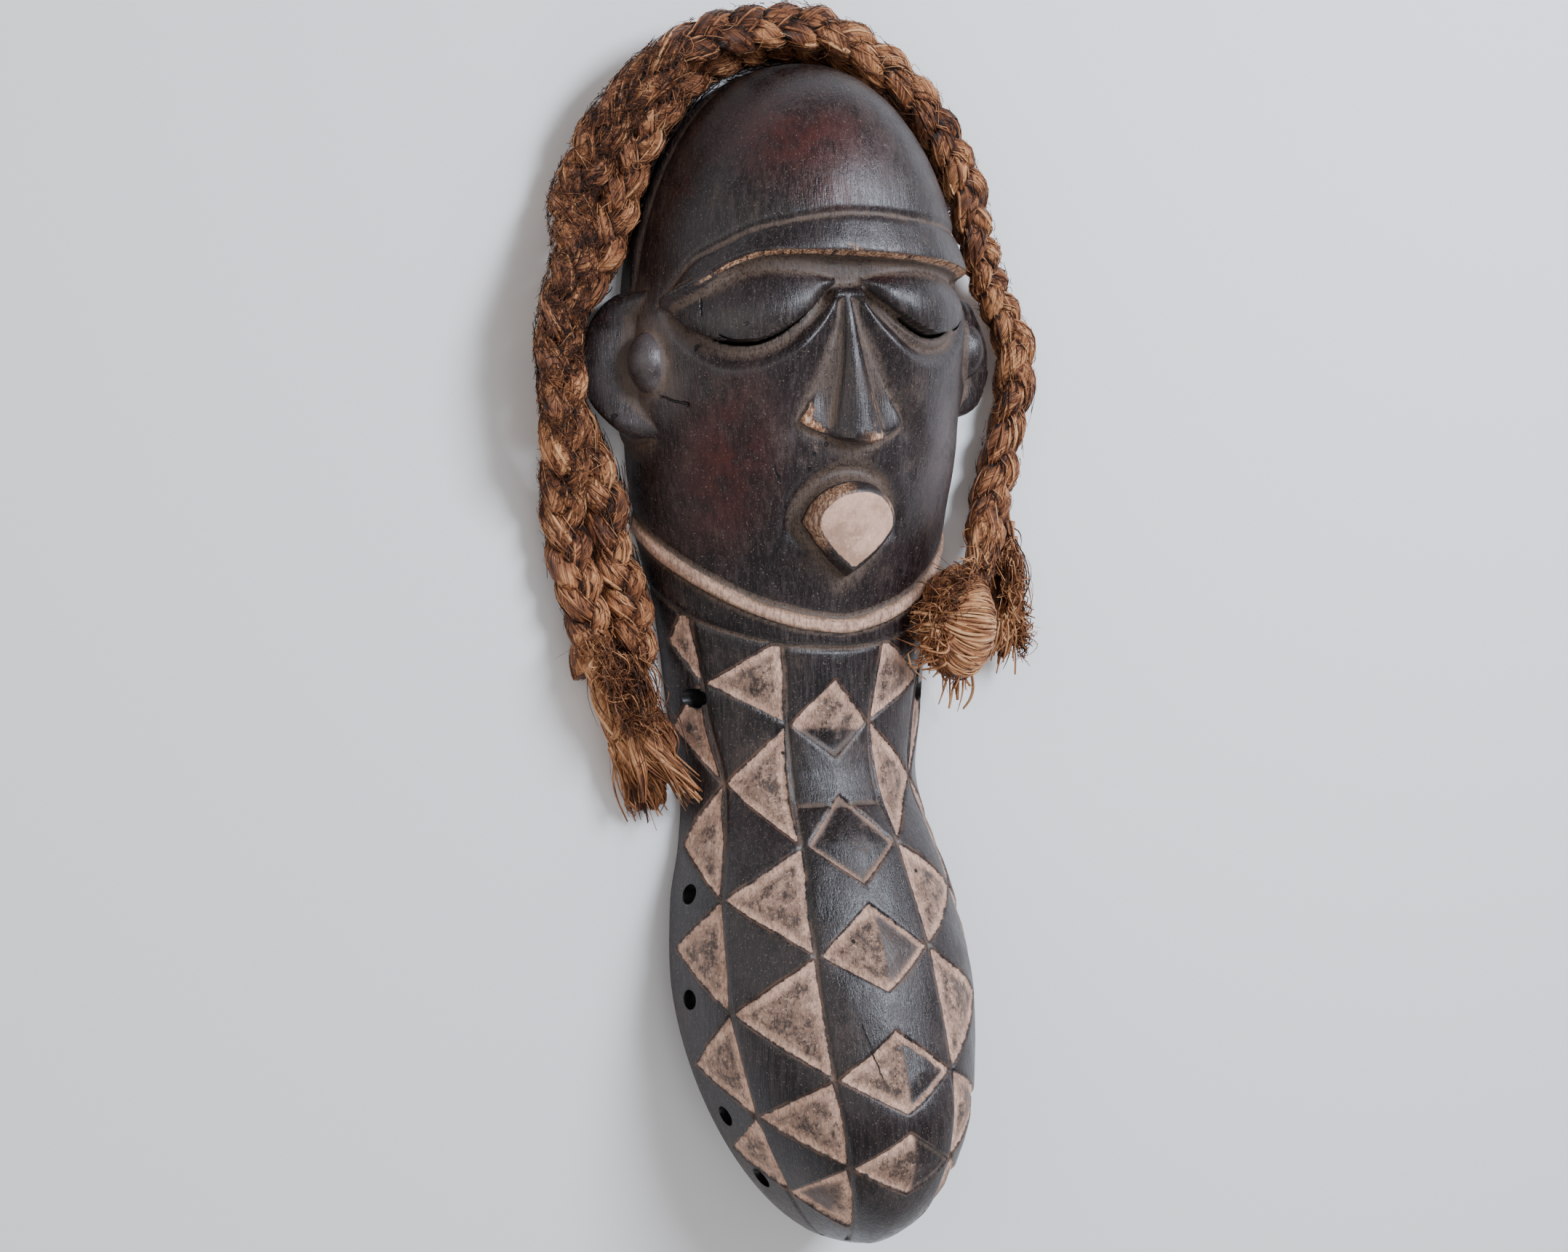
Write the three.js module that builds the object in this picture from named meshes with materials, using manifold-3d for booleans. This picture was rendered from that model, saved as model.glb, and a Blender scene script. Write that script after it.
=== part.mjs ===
// A carved wooden face mask with a long hull-shaped beard, trimmed with two plaits of raffia.
// It lies on its back rim: millimetres, +Z up out of the face, +Y toward the crown,
// the viewer's left side at -X, and the origin below the middle of the wood.

import * as THREE from 'three';
import * as BufferGeometryUtils from 'three/addons/utils/BufferGeometryUtils.js';
import Module from 'manifold-3d';

const wasm = await Module();
wasm.setup();

// Driving dimensions (mm).

// Lengthwise places are measured from the bottom of the chin, which lies this far up the frame.
const CHIN_Y = 7;

const CROWN = 292;            // top of the head
const TIP = -306;             // end of the beard
const HEAD_HALF_WIDTH = 93;
const BEARD_HALF_WIDTH = 80;
const HEAD_DEPTH = 90;        // rim plane to the forehead
const BEARD_DEPTH = 94;       // the beard's own rim to its keel
const WALL = 9;               // wood left at the sides
const END_WALL = 11;          // wood left at the crown and at the tip
const BROW_WALL = 11;         // more wood behind the sunk eyes and the root of the nose
const BEARD_LIFT = 40;        // how far the beard's rim leans forward at the tip
const LIFT_START = -70;       // the rim is flat from the crown down to here

// Between the two rounded ends the half width and the depth follow these stations.
const HALF_WIDTHS = [
  [150, HEAD_HALF_WIDTH], [98, HEAD_HALF_WIDTH], [60, 89], [30, 82], [0, 77],
  [-45, 72], [-80, 67], [-105, 70], [-135, 77], [-172, BEARD_HALF_WIDTH],
];
const DEPTHS = [
  [185, HEAD_DEPTH], [142, 85], [98, 75], [60, 66], [30, 57], [0, 50],
  [-45, 48], [-80, 53], [-105, 66], [-135, 75], [-172, 85], [-210, 91], [-240, BEARD_DEPTH],
];
// Fullness of the cross-section: 2 is an ellipse, less is more pointed at the keel.
const FULLNESS = [[185, 2.1], [98, 1.9], [60, 1.7], [0, 1.7], [-80, 1.8], [-135, 2.0]];

// Ends of the hull as quarter superellipses: centre, exponent.
const CROWN_PLAN = { centre: 150, power: 2.0 };
const CROWN_RISE = { centre: 185, power: 2.6 };
const TIP_PLAN = { centre: -172, power: 1.75 };
const TIP_RISE = { centre: -225, power: 2.05 };

// Face, in girth millimetres out from the middle and length millimetres up from the chin.
const BROW = { groove: 203, edge: 182.8, fall: 0.0025, end: 112, drop: 0.0088, proud: 2.8, socket: -7 };
const EYE = { corner: 166.8, tilt: 0.03, top: 7.5, bulge: 9.5, root: -7 };
// The two eyes are not quite alike: girth of the lowest place, reach to each corner,
// and lengths of the lines.
const LEFT_EYE = { low: 60, inner: 47, outer: 49, slit: 24, lowerLid: 29, cheek: 34 };
const RIGHT_EYE = { low: 48, inner: 46, outer: 52, slit: 20.3, lowerLid: 29, cheek: 34 };
const NOSE = {
  middle: 0, lean: -7, root: 167, base: 93, rootHalf: 3, baseHalf: 36,
  rootRise: -11, tip: 11, valley: -12, flare: 0.0105,
};
const MOUTH = { middle: 54.5, up: 21, down: 27.5, half: 25.5, rise: 10, moat: 3.5 };
const MOUTH_FACE = { up: 15.5, down: 20, half: 18.5 };   // the flat front of the mouth, inside its bevel
const CHIN = { line: 6, sweep: 0.0265, band: 7.2, lower: -8, lowerSweep: 0.003 };
const EAR = { nubAt: 27, nubRise: 13 };
const LEFT_EAR = { middle: 134, half: 37, reach: 26.5, nubY: 134.5 };
const RIGHT_EAR = { middle: 145, half: 32.5, reach: 25, nubY: 147 };
const SIDE_BAND = 12;         // plain band along the rim of the head

// Beard pattern: girth fractions of the column lines and lengths of the row lines.
const KEEL_COLUMN = 0.25;
const OUTER_COLUMN = 0.63;
const PATTERN_EDGE = 0.91;
const ROWS = [-3, -46, -105, -156, -213, -255, -290];
const WAIST_LINE = -86;
const PATTERN_SHIFT = -4;     // the beard's pattern was cut this far to one side
const SUNK = 1.3;             // depth of a carved triangle at its border

const LASHING_HOLE = 10;      // diameter
const LASHING_RISE = 17;      // above the rim
const LASHING_PLACES = [-32, -129, -180, -237, -268];

const PLAIT = 22;             // diameter of a plait
const GAP = 1;                // air left between two pieces
const MASK_FACETS = 8400;     // facets left on the carved wood

// Small helpers.

const clamp01 = (t) => Math.min(1, Math.max(0, t));

function smooth(from, to, value) {
  const t = clamp01((value - from) / (to - from));
  return t * t * (3 - 2 * t);
}

const bump = (distance, width) => Math.exp(-((distance / width) ** 2));

// Monotone cubic through stations given from the crown down.
function along(stations, y) {
  const n = stations.length;
  if (y >= stations[0][0]) return stations[0][1];
  if (y <= stations[n - 1][0]) return stations[n - 1][1];
  let k = 0;
  while (y < stations[k + 1][0]) k++;
  const slope = (i) => (stations[i + 1][1] - stations[i][1]) / (stations[i + 1][0] - stations[i][0]);
  const tangent = (i) => {
    if (i === 0 || i === n - 1) return 0;
    const [a, b] = [slope(i - 1), slope(i)];
    return a * b > 0 ? (2 * a * b) / (a + b) : 0;
  };
  const span = stations[k + 1][0] - stations[k][0];
  const t = (y - stations[k][0]) / span;
  return (2 * t ** 3 - 3 * t ** 2 + 1) * stations[k][1] + (t ** 3 - 2 * t ** 2 + t) * span * tangent(k)
    + (-2 * t ** 3 + 3 * t ** 2) * stations[k + 1][1] + (t ** 3 - t ** 2) * span * tangent(k + 1);
}

// 1 in the body, falling to 0 at the end as a quarter superellipse.
function roundedEnd(y, { centre, power }, end) {
  const t = clamp01((y - centre) / (end - centre));
  return (1 - t ** power) ** (1 / power);
}

// The plain hull.

const halfWidth = (y) => (
  along(HALF_WIDTHS, y) * roundedEnd(y, CROWN_PLAN, CROWN) * roundedEnd(y, TIP_PLAN, TIP)
);
const depth = (y) => along(DEPTHS, y) * roundedEnd(y, CROWN_RISE, CROWN) * roundedEnd(y, TIP_RISE, TIP);

function rimLift(y) {
  const down = Math.max(0, LIFT_START - y);
  const whole = LIFT_START - TIP;
  return BEARD_LIFT * (0.59 * (down / whole) + 0.41 * (down / whole) ** 2);
}

// One cross-section as points evenly spaced by girth, with its half girth.
function section(y, a, h, columns) {
  const power = 2 / along(FULLNESS, y);
  const steps = 96;
  const half = [];
  let girth = 0;
  for (let i = 0; i <= steps; i++) {
    const angle = (i / steps) * Math.PI / 2;
    const x = a * Math.sin(angle) ** power;
    const z = i === steps ? 0 : h * Math.cos(angle) ** power;
    if (i) girth += Math.hypot(x - half[i - 1].x, z - half[i - 1].z);
    half.push({ x, z, girth });
  }
  const points = [];
  for (let j = 0; j <= columns; j++) {
    const w = (2 * j) / columns - 1;
    const want = Math.abs(w) * girth;
    let k = 0;
    while (k < steps - 1 && half[k + 1].girth < want) k++;
    const t = girth ? clamp01((want - half[k].girth) / Math.max(1e-9, half[k + 1].girth - half[k].girth)) : 0;
    points.push(new THREE.Vector3(
      Math.sign(w) * (half[k].x + t * (half[k + 1].x - half[k].x)),
      y,
      rimLift(y) + half[k].z + t * (half[k + 1].z - half[k].z),
    ));
  }
  return { points, girth };
}

// Carving, as rise along the normal.

// The brow is level on one side, and drops toward the temple on the other.
const beyond = (s, place) => Math.max(0, -s - place);
const browGroove = (s) => BROW.groove - (s < 0 ? BROW.fall * s * s : 0) - 0.02 * beyond(s, 85) ** 2;
const browEdge = (s) => BROW.edge - BROW.drop * Math.min(37.6, beyond(s, 45)) ** 2 - 0.42 * beyond(s, 82.6);

function browRise(s, y) {
  const groove = browGroove(s);
  const edge = browEdge(s);
  const soft = 0.9 + 2.2 * smooth(45, 85, -s);
  const reach = 1 - smooth(BROW.end - 14, BROW.end + 2, Math.abs(s));
  const ramp = BROW.proud * smooth(edge - soft, edge + soft, y) * (1 - smooth(edge + 1, groove, y));
  return reach * (ramp - 1.4 * bump(y - groove, 2.4));
}

// How open the eye's outline is at a girth: 0 at both corners, 1 where the lids hang lowest.
function eyeLens(s) {
  const a = Math.abs(s);
  const { low, inner, outer } = s < 0 ? LEFT_EYE : RIGHT_EYE;
  const v = (a - low) / (a < low ? inner : outer);
  return Math.max(0, 1 - v * v);
}
const eyeCorner = (s) => EYE.corner + EYE.tilt * s;
function slitLine(s) {
  const eye = s < 0 ? LEFT_EYE : RIGHT_EYE;
  return eyeCorner(s) - eye.slit * eyeLens(s) ** (Math.abs(s) < eye.low ? 1.4 : 0.9);
}

// The spoon-shaped socket with its bulging upper lid, slit, and lower lid.
function eyeRise(s, y) {
  const a = Math.abs(s);
  const lens = eyeLens(s);
  const eye = s < 0 ? LEFT_EYE : RIGHT_EYE;
  const brow = browEdge(s);
  const corner = eyeCorner(s);
  const top = corner + EYE.top * lens ** 0.6;
  const slit = slitLine(s);
  const lower = corner - eye.lowerLid * lens;
  const cheek = corner - 1 - eye.cheek * lens ** 0.85;
  const soft = 1 + 1.5 * smooth(45, 85, -s);
  if (y > brow + 1.5 * soft || y < cheek - 4 || a > BROW.end + 6) return 0;
  const reach = 1 - smooth(BROW.end - 10, BROW.end + 6, a);
  const socket = BROW.socket + EYE.root * bump(s + 6, 24);
  let rise = socket * smooth(brow + 1.5 * soft, brow - 2.5 * soft, y) * smooth(cheek - 4, lower + 4, y);
  if (lens > 0) {
    const lid = EYE.bulge * lens ** 0.45 * smooth(slit - 0.9, slit + 0.9, y)
      * Math.cos(Math.PI / 2 * clamp01((y - slit - 4) / (top + 3 - slit - 4))) ** 0.8;
    const rim = 2.4 * lens ** 0.5 * bump(y - (slit + lower) / 2 + 1, 2.8) * (y < slit ? 1 : 0);
    rise += lid + rim - 1.2 * lens ** 0.5 * bump(y - lower, 1.5);
  }
  return rise * reach;
}

// The nose leans a little; its rounded ridge swells to the tip between flared wings, with a valley beside it.
function noseShape(s, y) {
  const t = clamp01((NOSE.root - y) / (NOSE.root - NOSE.base));
  return {
    a: Math.abs(s - NOSE.middle - NOSE.lean * (1 - t)),
    t,
    half: NOSE.rootHalf + (NOSE.baseHalf - NOSE.rootHalf) * t ** 1.6,
    level: NOSE.valley * (1 - 0.8 * t),
  };
}

function valleyRise(s, y) {
  if (y > NOSE.root + 6 || y < NOSE.base - 24) return 0;
  const { a, half, level } = noseShape(s, y);
  const on = smooth(NOSE.base - 22, NOSE.base + 6, y) * smooth(NOSE.root + 4, NOSE.root - 8, y);
  return level * on * (1 - smooth(half - 2, half + 20, a));
}

function noseRise(s, y) {
  const { a, t, half, level } = noseShape(s, y);
  const bottom = NOSE.base + NOSE.flare * a * a;
  if (y > NOSE.root + 4 || y < bottom - 3 || a > half) return -100;
  const crest = NOSE.rootRise + (NOSE.tip - NOSE.rootRise) * t ** 0.9;
  const ridge = 1.8 + 8.2 * t ** 1.4;
  const out = clamp01((a - ridge) / (half - ridge));
  const slope = a < ridge ? 1 - 0.26 * (a / ridge) ** 2 : 0.4 * (1 - out) + 0.34 * (1 - smooth(0, 0.3, out));
  const wing = 3.2 * bump(a - 26, 6.5) * smooth(NOSE.base + 32, NOSE.base + 10, y);
  const under = smooth(bottom + 2.5, bottom - 3, y);
  return (level + (crest - level) * slope + wing) * (1 - under) - 5 * under
    - 4 * smooth(NOSE.root - 2, NOSE.root + 4, y);
}

// Signed distance outside one of the mouth's outlines: round above, pointed below.
function mouthDistance(s, y, { up, down, half }) {
  const a = Math.abs(s);
  const v = y - MOUTH.middle;
  if (v >= 0) return Math.hypot(a / half, v / up) * up - up;
  return (((a / half) ** 1.2 + (-v / down) ** 1.2) ** (1 / 1.2) - 1) * (up + (0.82 * up - up) * smooth(0, -8, v));
}

function mouthRise(s, y) {
  const out = mouthDistance(s, y, MOUTH);
  const face = mouthDistance(s, y, MOUTH_FACE);
  const bevel = face <= 0 ? 1 : clamp01(-out / (face - out));
  const moat = MOUTH.moat * bump(out - 3.5, 4) * (out > -2 ? 1 : 0)
    * smooth(MOUTH.middle - 18, MOUTH.middle - 2, y);
  return MOUTH.rise * Math.sin(Math.PI / 2 * bevel) ** 0.8 - moat;
}

function chinRise(s, y) {
  const line = CHIN.line + CHIN.sweep * Math.abs(s) ** 1.6;
  const lower = CHIN.lower + CHIN.lowerSweep * s * s;
  const crease = -1.2 * bump(y - line, 2);
  const white = 2.4 * smooth(line + 2, line - 2, y) * smooth(line - CHIN.band - 0.8, line - CHIN.band + 0.8, y);
  const step = 1.1 * smooth(line - CHIN.band + 1, line - CHIN.band - 1, y) * smooth(lower - 0.8, lower + 0.8, y);
  return crease + white + step - 1.1 * bump(y - lower, 1.5);
}

function earRise(rimDistance, y, { middle, half, reach, nubY }) {
  const t = (y - middle) / half;
  if (Math.abs(t) >= 1 || rimDistance > 60) return 0;
  const crest = 8 + 7 * smooth(middle - half * 0.4, middle - half, y)
    + 4 * smooth(middle + half * 0.6, middle + half, y);
  const g = rimDistance - crest;
  const profile = g < 0 ? 1 - 0.8 * smooth(0, -9, g) : 1 - smooth(-2, 17, g);
  const flange = reach * (1 - t * t) ** 0.55 * profile;
  const nubOut = ((rimDistance - EAR.nubAt) / 10) ** 2;
  const nub = EAR.nubRise * Math.sqrt(Math.max(0, 1 - nubOut - ((y - nubY) / 16) ** 2));
  const base = 5 * bump(rimDistance - 22, 12) * (1 - t * t);
  return Math.max(flange, nub, base);
}

function sideBandRise(rimDistance, y) {
  if (y < 160) return 0;
  const on = smooth(160, 176, y) * (1 - smooth(268, 284, y));
  const step = 1.5 * (1 - smooth(SIDE_BAND - 0.8, SIDE_BAND + 0.8, rimDistance));
  return on * (step - 1 * bump(rimDistance - SIDE_BAND - 1.5, 1.6));
}

// Beard pattern.

const outerColumn = (y) => OUTER_COLUMN + 0.13 * smooth(-79, 5, y);
const keelColumn = (y) => KEEL_COLUMN + 0.05 * smooth(-46, 0, y);
const middleOf = (k) => (ROWS[k] + ROWS[k + 1]) / 2;
const patternMiddle = (y) => PATTERN_SHIFT * smooth(-5, -50, y);

// Distance inside a convex outline, negative outside; corners run clockwise or anticlockwise.
function inside(u, v, corners) {
  let least = Infinity;
  let turn = 0;
  corners.forEach(([x0, y0], i) => {
    const [x1, y1] = corners[(i + 1) % corners.length];
    turn += x0 * y1 - x1 * y0;
  });
  corners.forEach(([x0, y0], i) => {
    const [x1, y1] = corners[(i + 1) % corners.length];
    const length = Math.hypot(x1 - x0, y1 - y0) || 1;
    least = Math.min(least, Math.sign(turn) * ((x1 - x0) * (v - y0) - (y1 - y0) * (u - x0)) / length);
  });
  return least;
}

// The white fields as corner lists, in girth millimetres out from the keel and length millimetres.
function whiteFields(girth) {
  const fields = [];
  for (let k = 0; k < ROWS.length - 1; k++) {
    const apexRow = middleOf(k);
    const inner = (y) => keelColumn(y) * girth(y) + 1.6;
    const outer = (y) => outerColumn(y) * girth(y);
    fields.push([
      [inner(ROWS[k]), ROWS[k] - 1.5],
      [outer(apexRow) - 1.6, apexRow],
      [inner(ROWS[k + 1]), ROWS[k + 1] + 1.5],
    ]);
    const upper = k ? middleOf(k - 1) : 17;
    const edge = Math.min(PATTERN_EDGE, 1 - 8 / girth(ROWS[k])) * girth(ROWS[k]);
    fields.push([[outer(upper) + 1.6, upper - 1.5], [edge, ROWS[k]], [outer(apexRow) + 1.6, apexRow + 1.5]]);
    if (k) {
      const pitch = ROWS[k - 1] - ROWS[k + 1];
      const half = inner(ROWS[k]) - 4;
      fields.push([[0, ROWS[k] + 0.21 * pitch], [half, ROWS[k]], [0, ROWS[k] - 0.17 * pitch], [-half, ROWS[k]]]);
    }
  }
  return fields;
}

function beardRise(s, y, half, fields) {
  if (y > 22 || y < TIP + 6) return 0;
  const a = Math.abs(s);
  const started = smooth(CHIN.lower + CHIN.lowerSweep * s * s, CHIN.lower + CHIN.lowerSweep * s * s - 3, y);
  let rise = -1.2 * bump(a - keelColumn(y) * half, 1.5) - 1.2 * bump(a - outerColumn(y) * half, 1.5);
  if (a < keelColumn(y) * half) rise -= 1.1 * bump(y - WAIST_LINE, 1.5);
  let deepest = 0;
  for (const corners of fields) {
    const d = inside(a, y, corners);
    if (d > -1) deepest = Math.max(deepest, SUNK * smooth(-0.8, 0.8, d) * (1 - 0.75 * smooth(2, 11, d)));
  }
  return started * Math.min(rise, 0) + started * -deepest;
}

// The mask.

// Row places crowd toward both ends, where the hull turns down to the rim.
function rowPlaces(rows, top, bottom) {
  const places = [];
  for (let i = 0; i <= rows; i++) {
    const t = i / rows;
    places.push(top + (bottom - top) * (t - 0.6 * Math.sin(2 * Math.PI * t) / (2 * Math.PI)));
  }
  return places;
}

function outerSkin(rows, columns) {
  const girthAt = new Map();
  const girth = (y) => {
    const key = Math.round(y * 4) / 4;
    if (!girthAt.has(key)) girthAt.set(key, section(key, halfWidth(key), depth(key), 2).girth);
    return girthAt.get(key);
  };
  const fields = whiteFields(girth);
  const places = rowPlaces(rows, CROWN, TIP);
  const sections = places.map((y) => section(y, halfWidth(y), depth(y), columns));
  const skin = sections.map((row) => row.points.map((p) => p.clone()));
  for (let i = 1; i < rows; i++) {
    const { points, girth: half } = sections[i];
    const y = places[i];
    for (let j = 0; j <= columns; j++) {
      const w = (2 * j) / columns - 1;
      const s = w * half;
      const rimDistance = half - Math.abs(s);
      let rise = beardRise(s - patternMiddle(y), y, half, fields);
      if (y > -12) {
        const chin = chinRise(s, y);
        rise += chin + browRise(s, y) + mouthRise(s, y) + sideBandRise(rimDistance, y)
          + earRise(rimDistance, y, s < 0 ? LEFT_EAR : RIGHT_EAR);
        rise = Math.max(rise + eyeRise(s, y) + valleyRise(s, y), noseRise(s, y));
      }
      if (Math.abs(rise) < 1e-4) continue;
      const across = new THREE.Vector3().subVectors(points[Math.min(columns, j + 1)], points[Math.max(0, j - 1)]);
      const down = new THREE.Vector3().subVectors(sections[i + 1].points[j], sections[i - 1].points[j]);
      const normal = down.cross(across).normalize();
      if (j === 0 || j === columns) normal.set(Math.sign(w), 0, 0);
      skin[i][j].addScaledVector(normal, rise);
      skin[i][j].z = Math.max(skin[i][j].z, rimLift(y) + (j === 0 || j === columns ? 0 : 0.8));
    }
  }
  return skin;
}

function innerSkin(rows, columns) {
  const shrink = (y) => {
    // The hollow keeps the same form, pulled in by the wall.
    const stretched = CROWN + (y - (CROWN - END_WALL)) * (CROWN - TIP) / (CROWN - TIP - 2 * END_WALL);
    const wallInPlan = WALL * roundedEnd(y, CROWN_PLAN, CROWN - END_WALL) * roundedEnd(y, TIP_PLAN, TIP + END_WALL);
    const a = Math.max(0, halfWidth(stretched) - wallInPlan);
    const wallInRise = (WALL + 3) * roundedEnd(y, CROWN_RISE, CROWN - END_WALL)
      * roundedEnd(y, TIP_RISE, TIP + END_WALL);
    const h = Math.max(0, depth(stretched) - wallInRise);
    return { a, h: Math.max(0, h - BROW_WALL * bump(y - 160, 38)) };
  };
  return rowPlaces(rows, CROWN - END_WALL, TIP + END_WALL).map((y) => {
    const { a, h } = shrink(y);
    return section(y, a, h, columns).points;
  });
}

// A closed shell: the outer skin, the inner skin facing the hollow, and the rim between them.
function shellGeometry(outer, inner) {
  const positions = [];
  const quad = (a, b, c, d) => {
    for (const [p, q, r] of [[a, b, c], [a, c, d]]) {
      if (p.distanceTo(q) > 1e-5 && q.distanceTo(r) > 1e-5 && r.distanceTo(p) > 1e-5) {
        for (const v of [p, q, r]) positions.push(v.x, v.y, v.z);
      }
    }
  };
  const rows = outer.length - 1;
  const last = outer[0].length - 1;
  const innerLast = inner[0].length - 1;
  for (let i = 0; i < rows; i++) {
    for (let j = 0; j < last; j++) quad(outer[i][j], outer[i + 1][j], outer[i + 1][j + 1], outer[i][j + 1]);
    for (let j = 0; j < innerLast; j++) quad(inner[i][j + 1], inner[i + 1][j + 1], inner[i + 1][j], inner[i][j]);
    quad(outer[i + 1][0], outer[i][0], inner[i][0], inner[i + 1][0]);
    quad(outer[i][last], outer[i + 1][last], inner[i + 1][innerLast], inner[i][innerLast]);
  }
  const geometry = new THREE.BufferGeometry();
  geometry.setAttribute('position', new THREE.Float32BufferAttribute(positions, 3));
  return BufferGeometryUtils.mergeVertices(geometry, 1e-4);
}

function toManifold(geometry) {
  const bare = geometry.clone();
  bare.deleteAttribute('normal');
  bare.deleteAttribute('uv');
  const merged = BufferGeometryUtils.mergeVertices(bare, 1e-4);
  const mesh = new wasm.Mesh({
    numProp: 3,
    vertProperties: new Float32Array(merged.attributes.position.array),
    triVerts: new Uint32Array(merged.index.array),
  });
  return new wasm.Manifold(mesh);
}

function fromManifold(manifold) {
  const mesh = manifold.getMesh();
  const geometry = new THREE.BufferGeometry();
  geometry.setAttribute('position', new THREE.BufferAttribute(new Float32Array(mesh.vertProperties), 3));
  geometry.setIndex(new THREE.BufferAttribute(new Uint32Array(mesh.triVerts), 1));
  return geometry;
}

// Fewer facets.

// Joins neighbouring facets, the flattest first, until the count is reached. Each point keeps the
// sum of squared distances to its facets' planes (ten numbers), and an edge collapses to whichever
// of its ends or its middle adds the least.
function decimate(geometry, facets) {
  const point = Array.from({ length: geometry.attributes.position.count }, (_, i) =>
    new THREE.Vector3().fromBufferAttribute(geometry.attributes.position, i));
  const faces = [];
  for (let i = 0; i < geometry.index.count; i += 3) faces.push([0, 1, 2].map((k) => geometry.index.getX(i + k)));
  const around = point.map(() => new Set());
  const planes = point.map(() => new Float64Array(10));
  const version = new Int32Array(point.length);
  const edgeOne = new THREE.Vector3();
  const edgeTwo = new THREE.Vector3();
  const normalOf = (a, b, c) => edgeOne.subVectors(b, a).clone().cross(edgeTwo.subVectors(c, a));

  faces.forEach((face, f) => {
    const n = normalOf(...face.map((v) => point[v]));
    const area = n.length();
    n.divideScalar(area || 1);
    const plane = [n.x, n.y, n.z, -n.dot(point[face[0]])];
    for (const v of face) {
      around[v].add(f);
      let k = 0;
      for (let i = 0; i < 4; i++) for (let j = i; j < 4; j++) planes[v][k++] += area * plane[i] * plane[j];
    }
  });
  const costAt = (a, b, p) => {
    const h = [p.x, p.y, p.z, 1];
    let cost = 0;
    let k = 0;
    for (let i = 0; i < 4; i++) {
      for (let j = i; j < 4; j++, k++) cost += (i === j ? 1 : 2) * (planes[a][k] + planes[b][k]) * h[i] * h[j];
    }
    return cost;
  };

  const heap = [];
  const push = (item) => {
    let i = heap.push(item) - 1;
    while (i && heap[(i - 1) >> 1].cost > item.cost) {
      heap[i] = heap[(i - 1) >> 1];
      i = (i - 1) >> 1;
    }
    heap[i] = item;
  };
  const pop = () => {
    const least = heap[0];
    const item = heap.pop();
    if (heap.length) {
      let i = 0;
      for (let k = 1; k < heap.length; k = 2 * i + 1) {
        if (k + 1 < heap.length && heap[k + 1].cost < heap[k].cost) k++;
        if (heap[k].cost >= item.cost) break;
        heap[i] = heap[k];
        i = k;
      }
      heap[i] = item;
    }
    return least;
  };
  const consider = (a, b) => {
    const options = [point[a], point[b], point[a].clone().lerp(point[b], 0.5)];
    const costs = options.map((p) => costAt(a, b, p) + 1e-4 * point[a].distanceToSquared(point[b]));
    const best = costs.indexOf(Math.min(...costs));
    push({ cost: costs[best], a, b, place: options[best].clone(), va: version[a], vb: version[b] });
  };
  const neighbours = (v) => {
    const found = new Set();
    for (const f of around[v]) for (const u of faces[f]) if (u !== v) found.add(u);
    return found;
  };
  const flips = (v, other, place) => [...around[v]].some((f) => {
    if (faces[f].includes(other)) return false;
    const before = normalOf(...faces[f].map((u) => point[u]));
    const after = normalOf(...faces[f].map((u) => (u === v ? place : point[u])));
    return after.length() < 1e-3 || before.normalize().dot(after.normalize()) < 0.35;
  });

  point.forEach((_, a) => neighbours(a).forEach((b) => { if (a < b) consider(a, b); }));
  let left = faces.length;
  while (left > facets && heap.length) {
    const { a, b, place, va, vb } = pop();
    if (version[a] !== va || version[b] !== vb) continue;
    const ofB = neighbours(b);
    const shared = [...neighbours(a)].filter((u) => ofB.has(u));
    if (shared.length !== 2 || flips(a, b, place) || flips(b, a, place)) continue;
    point[a].copy(place);
    for (let k = 0; k < 10; k++) planes[a][k] += planes[b][k];
    for (const f of around[b]) {
      if (faces[f].includes(a)) {
        for (const u of faces[f]) if (u !== b) around[u].delete(f);
        faces[f] = null;
        left--;
      } else {
        faces[f][faces[f].indexOf(b)] = a;
        around[a].add(f);
      }
    }
    around[b].clear();
    version[a]++;
    version[b]++;
    neighbours(a).forEach((u) => consider(a, u));
  }

  const kept = new Map();
  const positions = [];
  const indices = faces.filter(Boolean).flat().map((v) => {
    if (!kept.has(v)) {
      kept.set(v, kept.size);
      positions.push(point[v].x, point[v].y, point[v].z);
    }
    return kept.get(v);
  });
  const result = new THREE.BufferGeometry();
  result.setAttribute('position', new THREE.Float32BufferAttribute(positions, 3));
  result.setIndex(indices);
  return result;
}

// Round holes through both side walls, for the cords that tie the trim and the costume.
function lashingHoles() {
  return LASHING_PLACES.flatMap((y) => [-1, 1].map((side) => {
    const drill = new THREE.CylinderGeometry(LASHING_HOLE / 2, LASHING_HOLE / 2, 60, 10);
    drill.rotateZ(Math.PI / 2);
    drill.translate(side * (halfWidth(y) - 8), y, rimLift(y) + LASHING_RISE);
    return drill;
  }));
}

// A thin curved cut under each upper lid, right through the wood.
function eyeSlits() {
  return [-1, 1].map((side) => {
    const steps = 10;
    const edge = (lift) => Array.from({ length: steps + 1 }, (_, i) => {
      const girth = side * (24 + 58 * i / steps);
      return [86 * Math.sin(girth / 89.5), slitLine(girth) + lift(i / steps)];
    });
    const outline = new THREE.Shape();
    const points = [...edge(() => 0.3), ...edge((t) => -0.3 - 1.2 * Math.sin(Math.PI * t) ** 0.7).toReversed()];
    points.forEach(([x, y], i) => outline[i ? 'lineTo' : 'moveTo'](x, y));
    const slab = new THREE.ExtrudeGeometry(outline, { depth: 90, bevelEnabled: false });
    slab.translate(0, 0, 15);
    return slab;
  });
}

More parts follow.
